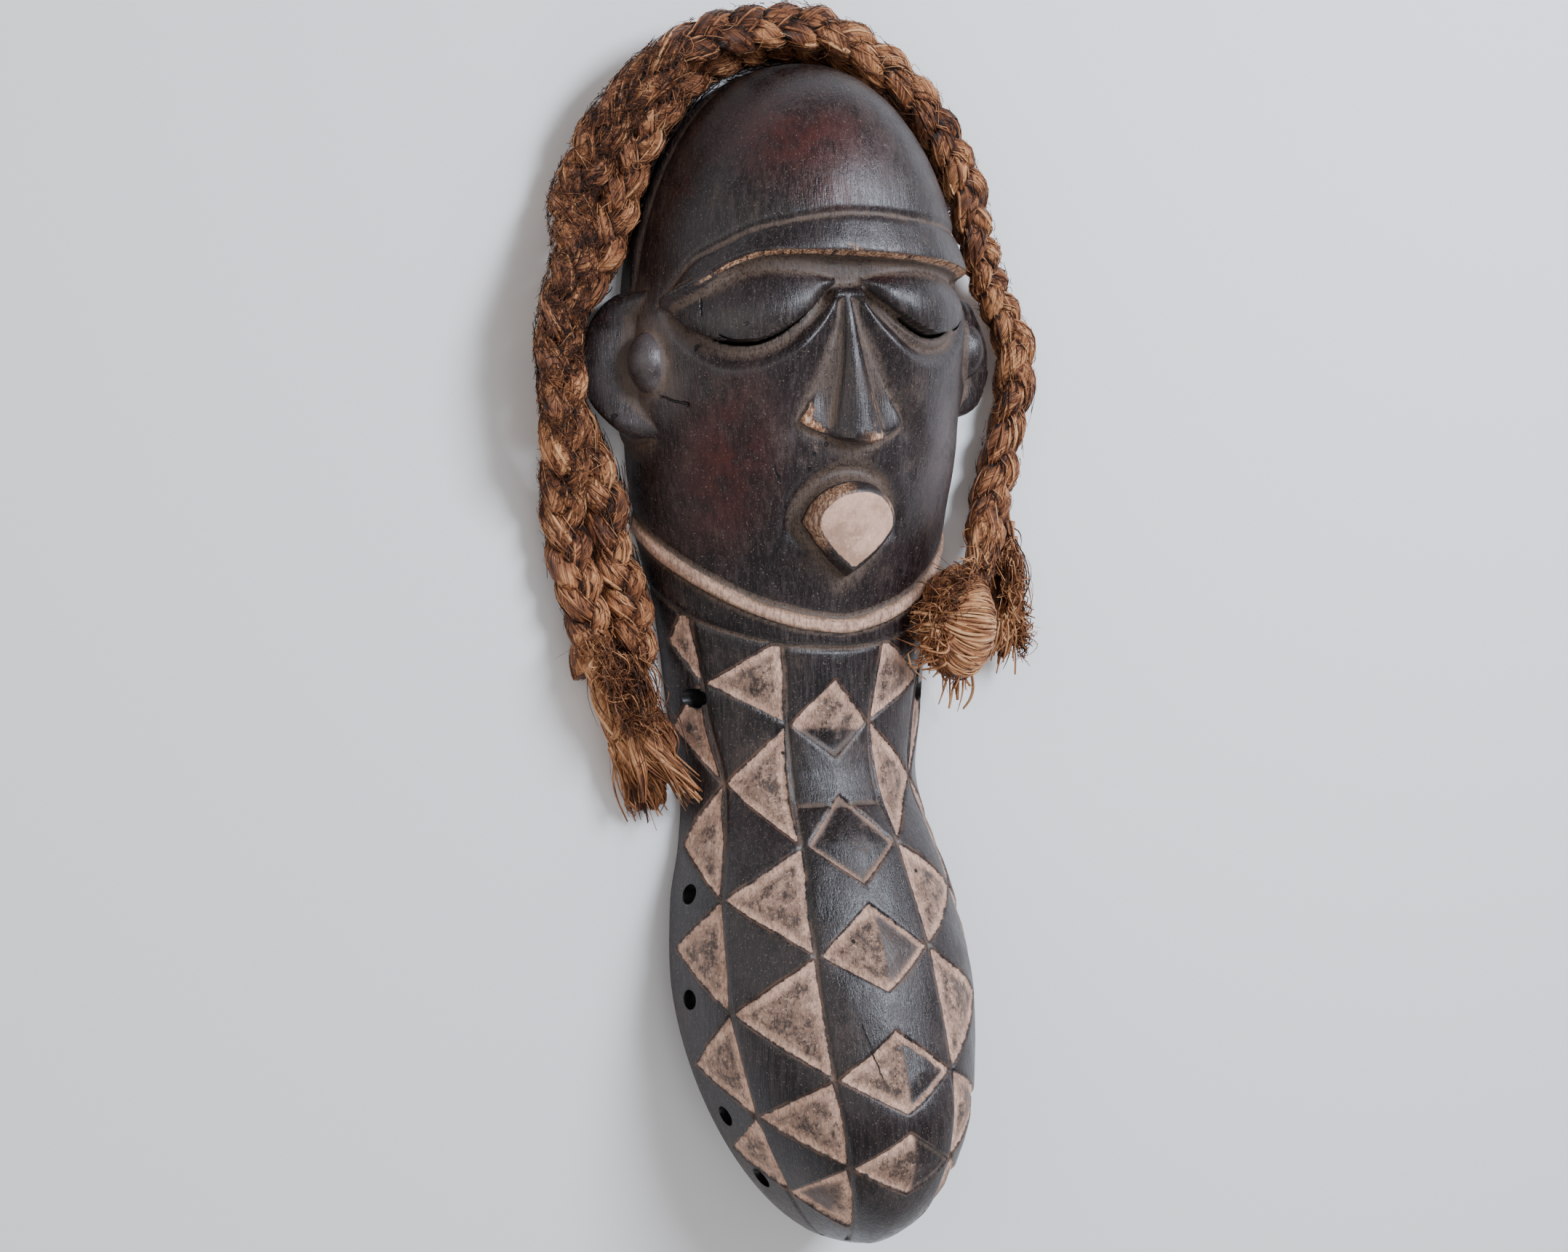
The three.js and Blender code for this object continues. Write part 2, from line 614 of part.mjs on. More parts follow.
function maskGeometry() {
  const rows = 340;
  let solid = toManifold(shellGeometry(outerSkin(rows, 150), innerSkin(rows, 24)));
  for (const cutter of [...lashingHoles(), ...eyeSlits()]) solid = solid.subtract(toManifold(cutter));
  // A cut can leave a crumb loose in the hollow; only the carved piece is kept.
  const [carved] = solid.decompose().sort((p, q) => q.volume() - p.volume());
  return decimate(fromManifold(carved), MASK_FACETS);
}

// Raffia.

// The inner plait lies on the floor beside the rim, from the left end out past the ear and over the
// crown. The outer plait keeps one width from it, and where the third number is more than 0 it has
// climbed that many degrees up over it: [x, y, climb].
const TOGETHER = [
  [-94, -16, 0], [-96, 8, 0], [-101, 27, 0], [-107, 46, 0], [-109.5, 68, 0], [-119.5, 94, 38],
  [-129.5, 112, 66], [-132.6, 136, 70], [-128.6, 158, 66], [-119.6, 172.4, 54], [-109.6, 187.3, 30],
  [-103.5, 203.6, 4],
  [-96, 222.6, 8], [-87.9, 243.2, 25], [-73.1, 266.9, 45], [-55.3, 286.2, 62], [-37.9, 296.8, 76], [-18.5, 303.7, 84],
  [0, 306.1, 88], [18.5, 303.7, 93], [37.9, 296.8, 98], [55.2, 286.2, 100], [72.5, 268.1, 100], [89.2, 240.7, 100],
  [94.5, 226.5, 100],
];
// The inner one ends there, tied under the outer, which comes down and goes round the right ear.
const OUTER_END = [
  [95, 212, 33], [102, 199, 27], [110.7, 187, 20], [121.3, 173.5, 14], [129.3, 161, 12.4], [133, 147, 12.4],
  [132.4, 133, 12.4],
  [129.5, 119, 12.4], [124, 105, 12.4], [121, 91, 12.4], [116, 76, 13.5], [110, 61, 17.5], [103.5, 45, 23],
];
const FLOOR_GAP = 1.4;        // the outer tube is turned where it climbs, so it keeps this much off the floor

const innerRoute = TOGETHER.map(([x, y]) => [x, y, PLAIT / 2]);
const outerRoute = TOGETHER.map(([x, y, degrees], i) => {
  const [before, after] = [TOGETHER[Math.max(0, i - 1)], TOGETHER[Math.min(TOGETHER.length - 1, i + 1)]];
  const [dx, dy] = [after[0] - before[0], after[1] - before[1]];
  const length = Math.hypot(dx, dy);
  const climb = degrees * Math.PI / 180;
  const out = (PLAIT + GAP) * Math.cos(climb);
  return [x - out * dy / length, y + out * dx / length, PLAIT / 2 + FLOOR_GAP + (PLAIT + GAP) * Math.sin(climb)];
}).concat(OUTER_END);

function plaitGeometry(route) {
  const curve = new THREE.CatmullRomCurve3(route.map((p) => new THREE.Vector3(...p)), false, 'centripetal');
  const sides = 9;
  const outline = new THREE.Shape();
  for (let i = 0; i < sides; i++) {
    const angle = (2 * Math.PI * i) / sides;
    outline[i ? 'lineTo' : 'moveTo'](PLAIT / 2 * Math.cos(angle), PLAIT / 2 * Math.sin(angle));
  }
  return new THREE.ExtrudeGeometry(outline, {
    steps: Math.round(curve.getLength() / 22), extrudePath: curve, bevelEnabled: false,
  });
}

// A bunch of raffia as a loft of ellipses down the length: [x, y, z, half width, half height].
function bunchGeometry(stations) {
  const sides = 12;
  const positions = [];
  const ring = ([x, y, z, rx, rz]) => Array.from({ length: sides }, (_, i) => {
    const angle = (2 * Math.PI * i) / sides;
    return [x + rx * Math.cos(angle), y, Math.max(0.2, z + rz * Math.sin(angle))];
  });
  const rings = stations.map(ring);
  const tri = (a, b, c) => positions.push(...a, ...b, ...c);
  for (let k = 0; k < rings.length - 1; k++) {
    for (let i = 0; i < sides; i++) {
      const j = (i + 1) % sides;
      tri(rings[k][i], rings[k + 1][j], rings[k + 1][i]);
      tri(rings[k][i], rings[k][j], rings[k + 1][j]);
    }
  }
  const cap = (points, [x, y, z], flip) => points.forEach((p, i) => {
    const q = points[(i + 1) % sides];
    if (flip) tri([x, y, z], p, q); else tri([x, y, z], q, p);
  });
  cap(rings[0], stations[0], false);
  cap(rings[rings.length - 1], stations[stations.length - 1], true);
  const geometry = new THREE.BufferGeometry();
  geometry.setAttribute('position', new THREE.Float32BufferAttribute(positions, 3));
  return BufferGeometryUtils.mergeVertices(geometry, 1e-4);
}

const LEFT_BUNCH = [
  [-102, -27, 15, 15, 12], [-103, -34, 16, 21, 15], [-100, -52, 19, 19, 18],
  [-95, -72, 20, 16, 19], [-92, -88, 19, 14, 17], [-90, -97, 17, 8, 9],
];
const RIGHT_BUNCH = [
  [95, 36, 30, 6, 6], [87, 28, 35, 12, 12], [80, 14, 39, 18, 17],
  [78, 0, 40, 19, 18], [78, -13, 38, 16, 16], [79, -23, 35, 8, 8],
];
const RIGHT_REAR_BUNCH = [
  [126, 58, 10, 4, 4], [123.5, 46, 12, 8, 8], [122, 30, 12, 10, 11], [122, 6, 12, 9, 11.2],
  [122, -12, 11, 8, 10], [120, -24, 9, 5, 6],
];

// Assembly.

const carvedWood = new THREE.MeshStandardMaterial({ color: 0x2b2523, roughness: 0.5, metalness: 0 });
const raffia = new THREE.MeshStandardMaterial({ color: 0x8a5a2e, roughness: 0.9, metalness: 0 });

const object = new THREE.Group();
object.name = 'bearded_mask';

function addPiece(name, geometry, material) {
  geometry.computeVertexNormals();
  const mesh = new THREE.Mesh(geometry, material);
  mesh.name = name;
  mesh.position.y = CHIN_Y;
  object.add(mesh);
}

addPiece('mask', maskGeometry(), carvedWood);
addPiece('inner_plait', plaitGeometry(innerRoute), raffia);
addPiece('outer_plait', plaitGeometry(outerRoute), raffia);
addPiece('left_bunch', bunchGeometry(LEFT_BUNCH), raffia);
addPiece('right_bunch', bunchGeometry(RIGHT_BUNCH), raffia);
addPiece('right_rear_bunch', bunchGeometry(RIGHT_REAR_BUNCH), raffia);

export default object;
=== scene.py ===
"""The bearded wooden face mask with its plaited raffia, finished for show.

The mask lies face up on its back rim. Lengths in this script are millimetres until a mesh is
made, and the frame's own metres after that: +Z out of the face, +Y toward the crown, the
viewer's left side at -X.
"""

import math
from functools import reduce

import bmesh
import bpy
import numpy as np
from mathutils import Matrix, Vector
from mathutils.kdtree import KDTree


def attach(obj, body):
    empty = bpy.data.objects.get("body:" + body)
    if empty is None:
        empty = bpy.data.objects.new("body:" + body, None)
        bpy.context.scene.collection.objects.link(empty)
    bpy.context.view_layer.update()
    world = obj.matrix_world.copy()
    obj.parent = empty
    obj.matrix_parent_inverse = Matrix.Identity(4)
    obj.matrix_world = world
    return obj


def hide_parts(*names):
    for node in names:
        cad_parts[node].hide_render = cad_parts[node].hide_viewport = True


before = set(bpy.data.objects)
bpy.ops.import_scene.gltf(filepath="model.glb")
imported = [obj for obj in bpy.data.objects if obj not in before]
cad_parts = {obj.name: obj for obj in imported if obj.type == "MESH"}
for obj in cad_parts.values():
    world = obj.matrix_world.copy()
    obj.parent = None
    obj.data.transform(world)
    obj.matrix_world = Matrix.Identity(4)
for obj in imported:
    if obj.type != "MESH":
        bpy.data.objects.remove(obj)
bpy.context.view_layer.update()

MM = 0.001
CHIN_Y = 7.0              # the chin's bottom in the frame; lengthwise places are measured from it

# Camera, floor and light

EYE_DISTANCE = 1150.0     # from the middle of the mask
EYE_TURN = 28.0           # degrees toward the viewer's left
EYE_ROLL = -1.3
AIM = (0.0, CHIN_Y, 40.0)
AIM_SHIFT = (22.8, 2.8)   # the photograph's centre lies this far left of the mask and above it
LENS = 52.2

# soft boxes in metres and watts: place, size, power and colour
SOFT_BOXES = {
    "window_upper_right": ((0.68, 0.62, 1.36), (0.50, 0.80), 33, (0.82, 0.89, 1.0)),
    "fill_left": ((-1.35, 0.35, 1.0), (0.9, 1.3), 6, (1.0, 0.97, 0.94)),
    "fill_low": ((0.35, -1.4, 1.0), (1.0, 0.7), 5, (0.97, 0.98, 1.0)),
}
LIGHTS_AIM = (0, 0, 0.03)
ROOM_GLOW, ROOM_STRENGTH = (1.0, 0.985, 0.97), 0.36
FLOOR_SIZE, FLOOR_DROP = 9.0, 0.0006      # metres
FLOOR_PAINT = (0.965, 0.97, 0.985)


def place_camera():
    turn, roll = math.radians(EYE_TURN), math.radians(EYE_ROLL)
    back = Vector((-math.sin(turn), 0, math.cos(turn)))
    right = Vector((0, 1, 0)).cross(back).normalized()
    up = back.cross(right)
    right_rolled = right * math.cos(roll) + up * math.sin(roll)
    up_rolled = up * math.cos(roll) - right * math.sin(roll)
    eye = Vector(AIM) + back * EYE_DISTANCE
    look = Vector(AIM) - right_rolled * AIM_SHIFT[0] + up_rolled * AIM_SHIFT[1]
    axis_z = (eye - look).normalized()
    axis_x = up_rolled.cross(axis_z).normalized()
    axis_y = axis_z.cross(axis_x)
    camera = bpy.data.objects.new("camera", bpy.data.cameras.new("camera"))
    camera.data.lens = LENS
    camera.data.sensor_width = 36.0
    camera.location = eye * MM
    camera.rotation_euler = Matrix((axis_x, axis_y, axis_z)).transposed().to_euler()
    bpy.context.collection.objects.link(camera)
    bpy.context.scene.camera = camera


def soft_box(name, place, size, power, colour):
    light = bpy.data.lights.new(name, "AREA")
    light.shape = "RECTANGLE"
    light.size, light.size_y = size
    light.energy = power
    light.color = colour
    lamp = bpy.data.objects.new(name, light)
    lamp.location = place
    lamp.rotation_euler = (Vector(LIGHTS_AIM) - Vector(place)).to_track_quat("-Z", "Y").to_euler()
    bpy.context.collection.objects.link(lamp)


def light_the_room():
    for name, settings in SOFT_BOXES.items():
        soft_box(name, *settings)
    world = bpy.data.worlds.new("room")
    bpy.context.scene.world = world
    world.use_nodes = True
    glow = world.node_tree.nodes["Background"]
    glow.inputs["Color"].default_value = (*ROOM_GLOW, 1)
    glow.inputs["Strength"].default_value = ROOM_STRENGTH


def lay_floor():
    bpy.ops.object.select_all(action="DESELECT")
    bpy.ops.mesh.primitive_plane_add(size=FLOOR_SIZE, location=(0, 0, -FLOOR_DROP))
    floor = bpy.context.object
    floor.name = "floor"
    paint = bpy.data.materials.new("pale_floor")
    paint.use_nodes = True
    shader = paint.node_tree.nodes["Principled BSDF"]
    shader.inputs["Base Color"].default_value = (*FLOOR_PAINT, 1)
    shader.inputs["Roughness"].default_value = 0.85
    floor.data.materials.append(paint)


# Plain curve helpers

def smooth(start, end, value):
    t = np.clip((value - start) / (end - start), 0, 1)
    return t * t * (3 - 2 * t)


def bump(distance, width):
    return np.exp(-(distance / width) ** 2)


def along(stations, y):
    """Monotone curve through stations given from the crown down."""
    place = np.array([s[0] for s in stations], float)[::-1]
    value = np.array([s[1] for s in stations], float)[::-1]
    y = np.clip(y, place[0], place[-1])
    slope = np.diff(value) / np.diff(place)
    tangent = np.zeros(len(place))
    same = slope[:-1] * slope[1:] > 0
    tangent[1:-1][same] = (2 * slope[:-1] * slope[1:])[same] / (slope[:-1] + slope[1:])[same]
    i = np.clip(np.searchsorted(place, y, side="right") - 1, 0, len(place) - 2)
    span = place[i + 1] - place[i]
    t = (y - place[i]) / span
    return ((2 * t**3 - 3 * t**2 + 1) * value[i] + (t**3 - 2 * t**2 + t) * span * tangent[i]
            + (-2 * t**3 + 3 * t**2) * value[i + 1] + (t**3 - t**2) * span * tangent[i + 1])


def wander(rng, places, wavelength, size):
    """A smooth random line: one value for each place along a length."""
    knots = int((places.max() - places.min()) / wavelength) + 4
    heights = rng.normal(0, 1, knots)
    t = (places - places.min()) / wavelength
    i = t.astype(int)
    f = t - i
    f = f * f * (3 - 2 * f)
    return size * (heights[i] * (1 - f) + heights[i + 1] * f)


def mottle(rng, u, v, grain_u, grain_v):
    """Smooth random values over a surface, about -1 to 1, with patches of the given size."""
    gu, gv = u / grain_u, v / grain_v
    gu, gv = gu - gu.min(), gv - gv.min()
    table = rng.normal(0, 0.6, (int(gu.max()) + 3, int(gv.max()) + 3))
    i, j = gu.astype(int), gv.astype(int)
    fu, fv = gu - i, gv - j
    fu, fv = fu * fu * (3 - 2 * fu), fv * fv * (3 - 2 * fv)
    return ((table[i, j] * (1 - fv) + table[i, j + 1] * fv) * (1 - fu)
            + (table[i + 1, j] * (1 - fv) + table[i + 1, j + 1] * fv) * fu)


def make_piece(name, points, faces, values):
    """A smooth mesh object from points in millimetres, blocks of faces and named point values."""
    mesh = bpy.data.meshes.new(name)
    corners = np.concatenate([block.ravel() for block in faces]).astype(np.int32)
    totals = np.concatenate([np.full(len(block), block.shape[1], np.int32) for block in faces])
    mesh.vertices.add(len(points))
    mesh.vertices.foreach_set("co", (np.asarray(points, np.float32) * MM).ravel())
    mesh.loops.add(len(corners))
    mesh.loops.foreach_set("vertex_index", corners)
    mesh.polygons.add(len(totals))
    mesh.polygons.foreach_set("loop_start", np.r_[0, np.cumsum(totals)[:-1]].astype(np.int32))
    mesh.polygons.foreach_set("loop_total", totals)
    mesh.update(calc_edges=True)
    for key, value in values.items():
        layer = mesh.attributes.new(key, "FLOAT", "POINT")
        layer.data.foreach_set("value", np.asarray(value, np.float32))
    mesh.polygons.foreach_set("use_smooth", np.ones(len(totals), bool))
    piece = bpy.data.objects.new(name, mesh)
    bpy.context.collection.objects.link(piece)
    return piece


# The route of the two plaits

PLAIT = 22.0
GAP = 1.0
FLOOR_GAP = 1.4
FLOOR_SKIM = 0.5          # no fibre reaches lower than this
# the inner plait's line on the floor, and how many degrees the outer one has climbed over it there
TOGETHER = [
    (-94, -16, 0), (-96, 8, 0), (-101, 27, 0), (-107, 46, 0), (-109.5, 68, 0), (-119.5, 94, 38),
    (-129.5, 112, 66), (-132.6, 136, 70), (-128.6, 158, 66), (-119.6, 172.4, 54), (-109.6, 187.3, 30),
    (-103.5, 203.6, 4), (-96, 222.6, 8), (-87.9, 243.2, 25), (-73.1, 266.9, 45), (-55.3, 286.2, 62),
    (-37.9, 296.8, 76), (-18.5, 303.7, 84), (0, 306.1, 88), (18.5, 303.7, 93), (37.9, 296.8, 98),
    (55.2, 286.2, 100), (72.5, 268.1, 100), (89.2, 240.7, 100), (94.5, 226.5, 100),
]
# the outer one's way down to the floor and round the right ear
OUTER_END = [
    (95, 212, 33), (102, 199, 27), (110.7, 187, 20), (121.3, 173.5, 14), (129.3, 161, 12.4),
    (133, 147, 12.4), (132.4, 133, 12.4), (129.5, 119, 12.4), (124, 105, 12.4), (121, 91, 12.4),
    (116, 76, 13.5), (110, 61, 17.5), (103.5, 45, 23),
]


def plait_routes():
    inner = [(x, y, PLAIT / 2) for x, y, _ in TOGETHER]
    outer = []
    for i, (x, y, degrees) in enumerate(TOGETHER):
        before, after = TOGETHER[max(0, i - 1)], TOGETHER[min(len(TOGETHER) - 1, i + 1)]
        dx, dy = after[0] - before[0], after[1] - before[1]
        length = math.hypot(dx, dy)
        climb = math.radians(degrees)
        out = (PLAIT + GAP) * math.cos(climb)
        outer.append((x - out * dy / length, y + out * dx / length,
                      PLAIT / 2 + FLOOR_GAP + (PLAIT + GAP) * math.sin(climb)))
    return inner, outer + OUTER_END


def fair_line(route, spacing):
    """The route as a smooth line of evenly spaced points, as the frame's own tubes follow it."""
    p = np.array(route, float)
    p[:, 1] += CHIN_Y
    p = np.vstack([2 * p[0] - p[1], p, 2 * p[-1] - p[-2]])
    line = []
    for k in range(1, len(p) - 2):
        p0, p1, p2, p3 = p[k - 1:k + 3]
        d = [max(1e-6, np.linalg.norm(b - a)) ** 0.5 for a, b in ((p0, p1), (p1, p2), (p2, p3))]
        m1 = ((p1 - p0) / d[0] - (p2 - p0) / (d[0] + d[1]) + (p2 - p1) / d[1]) * d[1]
        m2 = ((p2 - p1) / d[1] - (p3 - p1) / (d[1] + d[2]) + (p3 - p2) / d[2]) * d[1]
        t = np.linspace(0, 1, 40, endpoint=False)[:, None]
        line.append((2 * t**3 - 3 * t**2 + 1) * p1 + (t**3 - 2 * t**2 + t) * m1
                    + (-2 * t**3 + 3 * t**2) * p2 + (t**3 - t**2) * m2)
    line = np.vstack(line + [p[-2:-1]])
    run = np.r_[0, np.cumsum(np.linalg.norm(np.diff(line, axis=0), axis=1))]
    even = np.linspace(0, run[-1], int(run[-1] / spacing) + 1)
    return np.stack([np.interp(even, run, line[:, k]) for k in range(3)], 1), even


def carry_frames(line):
    """Forward, sideways and upward directions along a line that stays roughly level."""
    forward = np.gradient(line, axis=0)
    forward /= np.linalg.norm(forward, axis=1, keepdims=True)
    side = np.cross(forward, np.array([0, 0, 1.0]))
    side /= np.linalg.norm(side, axis=1, keepdims=True)
    return forward, side, np.cross(side, forward)


# Raffia fibres

def fibre_frames(lines):
    """Sideways and upward directions at each ring of each fibre."""
    forward = np.gradient(lines, axis=1)
    forward /= np.linalg.norm(forward, axis=2, keepdims=True) + 1e-9
    steep = np.abs(forward[..., 2:3]) > 0.9
    reference = np.where(steep, np.array([1.0, 0, 0]), np.array([0, 0, 1.0]))
    side = np.cross(forward, reference)
    side /= np.linalg.norm(side, axis=2, keepdims=True) + 1e-9
    return side, np.cross(side, forward)


class Bundle:
    """Collects swept fibres into one mesh, with the values that the raffia finish reads."""

    def __init__(self):
        self.points, self.faces, self.values, self.count = [], [], [], 0

    def add(self, rings, tone, around, run, crease):
        """rings is (fibres, rings, sides, 3); the four values spread over (fibres, rings, sides)."""
        # crease is how much painted shade the raffia finish lays on each point
        fibres, length, sides, _ = rings.shape
        base = self.count + (np.arange(fibres) * length * sides)[:, None, None]
        i = (np.arange(length - 1) * sides)[None, :, None]
        j = np.arange(sides)[None, None, :]
        k = (j + 1) % sides
        walls = np.stack([np.broadcast_to(q, (fibres, length - 1, sides)).ravel() for q in (
            base + i + j, base + i + sides + j, base + i + sides + k, base + i + k)], 1)
        first = base[:, 0] + np.arange(sides)[None, :]
        self.faces += [walls, first, (first + (length - 1) * sides)[:, ::-1]]
        self.points.append(rings.reshape(-1, 3))
        shape = rings.shape[:3]
        self.values.append([np.broadcast_to(v, shape).ravel() for v in (tone, around, run, crease)])
        self.count += fibres * length * sides

    def ribbons(self, lines, widths, depths, sides, twist, tones, crease=0.0):
        """Flat fibres: lines is (fibres, rings, 3), widths and depths are half sizes at each ring."""
        side, up = fibre_frames(lines)
        c, s = np.cos(twist)[..., None], np.sin(twist)[..., None]
        side, up = side * c + up * s, up * c - side * s
        angle = 2 * np.pi * np.arange(sides) / sides
        rings = (lines[:, :, None, :] + side[:, :, None, :] * (widths[..., None] * np.cos(angle))[..., None]
                 + up[:, :, None, :] * (depths[..., None] * np.sin(angle))[..., None])
        tones = np.asarray(tones)[:, None, None]
        step = np.linalg.norm(np.diff(lines, axis=1), axis=2)
        run = np.concatenate([np.zeros((len(lines), 1)), np.cumsum(step, axis=1)], axis=1)[..., None]
        self.add(rings, tones, tones * 97 + widths[..., None] * np.cos(angle), run + tones * 31, crease)

    def strand(self, middle, side, up, half_width, half_height, run, rng, tone, others=(), sides=26):
        """A thick bundle of fibres along a line, its skin ridged lengthwise."""
        angle = 2 * np.pi * np.arange(sides)[None, :] / sides
        lean = 0.05 * run[:, None]
        ridge = (0.050 * np.cos(5 * angle + lean * 3 + wander(rng, run, 35, 0.8)[:, None])
                 + 0.045 * np.cos(9 * angle + lean * 6 + wander(rng, run, 25, 0.9)[:, None])
                 + 0.025 * np.cos(12 * angle + lean * 9 + wander(rng, run, 16, 1.2)[:, None]))
        skin = (middle[:, None, :]
                + side[:, None, :] * (half_width[:, None] * (1 + ridge) * np.cos(angle))[..., None]
                + up[:, None, :] * (half_height[:, None] * (1 + ridge) * np.sin(angle))[..., None])
        near = np.full(skin.shape[:2], 9.0)
        for other in others:
            for shift in (-5, -2, 0, 2, 5):
                at = np.clip(np.arange(len(middle)) + shift, 0, len(middle) - 1)
                away = np.linalg.norm(skin - other[at][:, None, :], axis=2)
                near = np.minimum(near, away / half_width[:, None])
        # painted shade: darker where the skin comes near the other strands and in the valleys between its
        # ridges
        crease = np.clip(1 - smooth(0.80, 1.30, near) - 0.3 * ridge / 0.1, 0, 1)
        around = angle * half_width[:, None] + lean * 20
        self.add(skin[None], tone, around[None], run[None, :, None], crease[None])

    def piece(self, name):
        values = {key: np.concatenate([v[k] for v in self.values])
                  for k, key in enumerate(("tone", "around", "run", "crease"))}
        return make_piece(name, np.vstack(self.points), self.faces, values)


PLAIT_PERIOD = 62.0       # length in which a strand crosses over and back
PLAIT_SWING = 5.4         # how far a strand's middle swings sideways
PLAIT_LIFT = 3.3
STRAND = (5.9, 5.1)       # a strand's half width and half thickness
RIBBONS_ON_STRAND = 6
FIBRES_ON_STRAND = 620
# how far out from a plait's middle its curls start, sideways and upward
ON_SKIN = (PLAIT / 2, PLAIT / 2 - 1.4)
WITHIN_SKIN = (PLAIT / 2 - 0.6, PLAIT / 2 - 2.2)


def across_frame(middle, up):
    forward = np.gradient(middle, axis=0)
    forward /= np.linalg.norm(forward, axis=1, keepdims=True)
    side = np.cross(forward, up)
    side /= np.linalg.norm(side, axis=1, keepdims=True)
    return side, np.cross(side, forward)


def lay_fibres(bundle, middle, side, up, wide, tall, count, rng):
    """Short flat fibres that follow a strand's skin and lift a little at their ends."""
    step = np.linalg.norm(middle[1] - middle[0])
    rings = 6
    t = np.linspace(0, 1, rings)[None, :]
    length = rng.uniform(16, 48, (count, 1))
    u = rng.uniform(-5, len(middle), (count, 1)) + length * t / step
    u = np.clip(u, 0, len(middle) - 1.001)
    i, f = u.astype(int), (u % 1)[..., None]
    toward_end = 2 * np.abs(t - 0.5)
    angle = rng.uniform(0, 2 * np.pi, (count, 1)) + 0.05 * length * t
    angle = angle + rng.normal(0, 0.16, (count, 1)) * (t - 0.5) * 3
    lift = 1.03 + rng.uniform(0, 0.10, (count, 1)) + rng.uniform(0, 0.30, (count, 1)) * toward_end**4
    w, h = wide[i] * lift, tall[i] * lift
    lines = (middle[i] * (1 - f) + middle[np.minimum(i + 1, len(middle) - 1)] * f
             + side[i] * (w * np.cos(angle))[..., None] + up[i] * (h * np.sin(angle))[..., None])
    lines[..., 2] = np.maximum(lines[..., 2], FLOOR_SKIM)
    half = rng.uniform(0.22, 0.62, (count, 1)) * (1 - 0.7 * toward_end**3)
    flat_on = np.arctan2(h * np.cos(angle), -w * np.sin(angle))
    # the last value is a little painted shade laid on every fibre
    bundle.ribbons(lines, half, half * 0.35 + 0.04, 3, flat_on, rng.uniform(-0.15, 1.15, count), 0.12)


def weave_plait(name, route, seed, strays):
    """Three fat strands of raffia plaited along the route, with ribbons and fibres on their skin."""
    rng = np.random.default_rng(seed)
    line, run = fair_line(route, 2.8)
    _, side, up = carry_frames(line)
    phase = 2 * np.pi * run / PLAIT_PERIOD + wander(rng, run, 70, 0.9)
    fullness = 1 + wander(rng, run, 45, 0.06)
    middles, turns = [], []
    for strand in range(3):
        turn = phase + 2 * np.pi * strand / 3
        across = PLAIT_SWING * np.sin(turn) * fullness + wander(rng, run, 40, 0.45)
        above = PLAIT_LIFT * np.sin(2 * turn) + wander(rng, run, 40, 0.3)
        middles.append(line + side * across[:, None] + up * above[:, None])
        turns.append(turn)
    bundle = Bundle()
    for strand, (middle, turn) in enumerate(zip(middles, turns)):
        strand_side, strand_up = across_frame(middle, up)
        swell = 1 + 0.10 * np.sin(2 * turn) + wander(rng, run, 22, 0.07)
        wide, tall = STRAND[0] * swell, STRAND[1] * swell
        others = [m for k, m in enumerate(middles) if k != strand]
        tone = 0.45 + wander(rng, run, 26, 0.12)
        bundle.strand(middle, strand_side, strand_up, wide, tall, run, rng, tone[None, :, None], others)
        lay_fibres(strays, middle, strand_side, strand_up, wide, tall, FIBRES_ON_STRAND, rng)
        lines, widths, depths, twists, crease_shades = [], [], [], [], []
        for f in range(RIBBONS_ON_STRAND):
            angle = 2 * np.pi * f / RIBBONS_ON_STRAND + 0.05 * run + wander(rng, run, 26, 0.35)
            reach = 0.99 + wander(rng, run, 18, 0.05)
            skin = (middle + strand_side * (wide * reach * np.cos(angle))[:, None]
                    + strand_up * (tall * reach * np.sin(angle))[:, None])
            lines.append(skin)
            widths.append((1.05 + wander(rng, run, 20, 0.3)).clip(0.4, 1.7))
            depths.append((0.5 + wander(rng, run, 20, 0.1)).clip(0.25, 0.8))
            twists.append(np.arctan2(tall * np.cos(angle), -wide * np.sin(angle)))
            # painted shade where a ribbon runs near the other strands
            near = np.min([np.linalg.norm(skin - other, axis=1) / wide for other in others], axis=0)
            crease_shades.append(1 - smooth(0.85, 1.30, near))
        bundle.ribbons(np.array(lines), np.array(widths), np.array(depths), 4, np.array(twists),
                       rng.uniform(0.1, 1.0, RIBBONS_ON_STRAND), np.array(crease_shades)[..., None])
    return bundle.piece(name), line, run


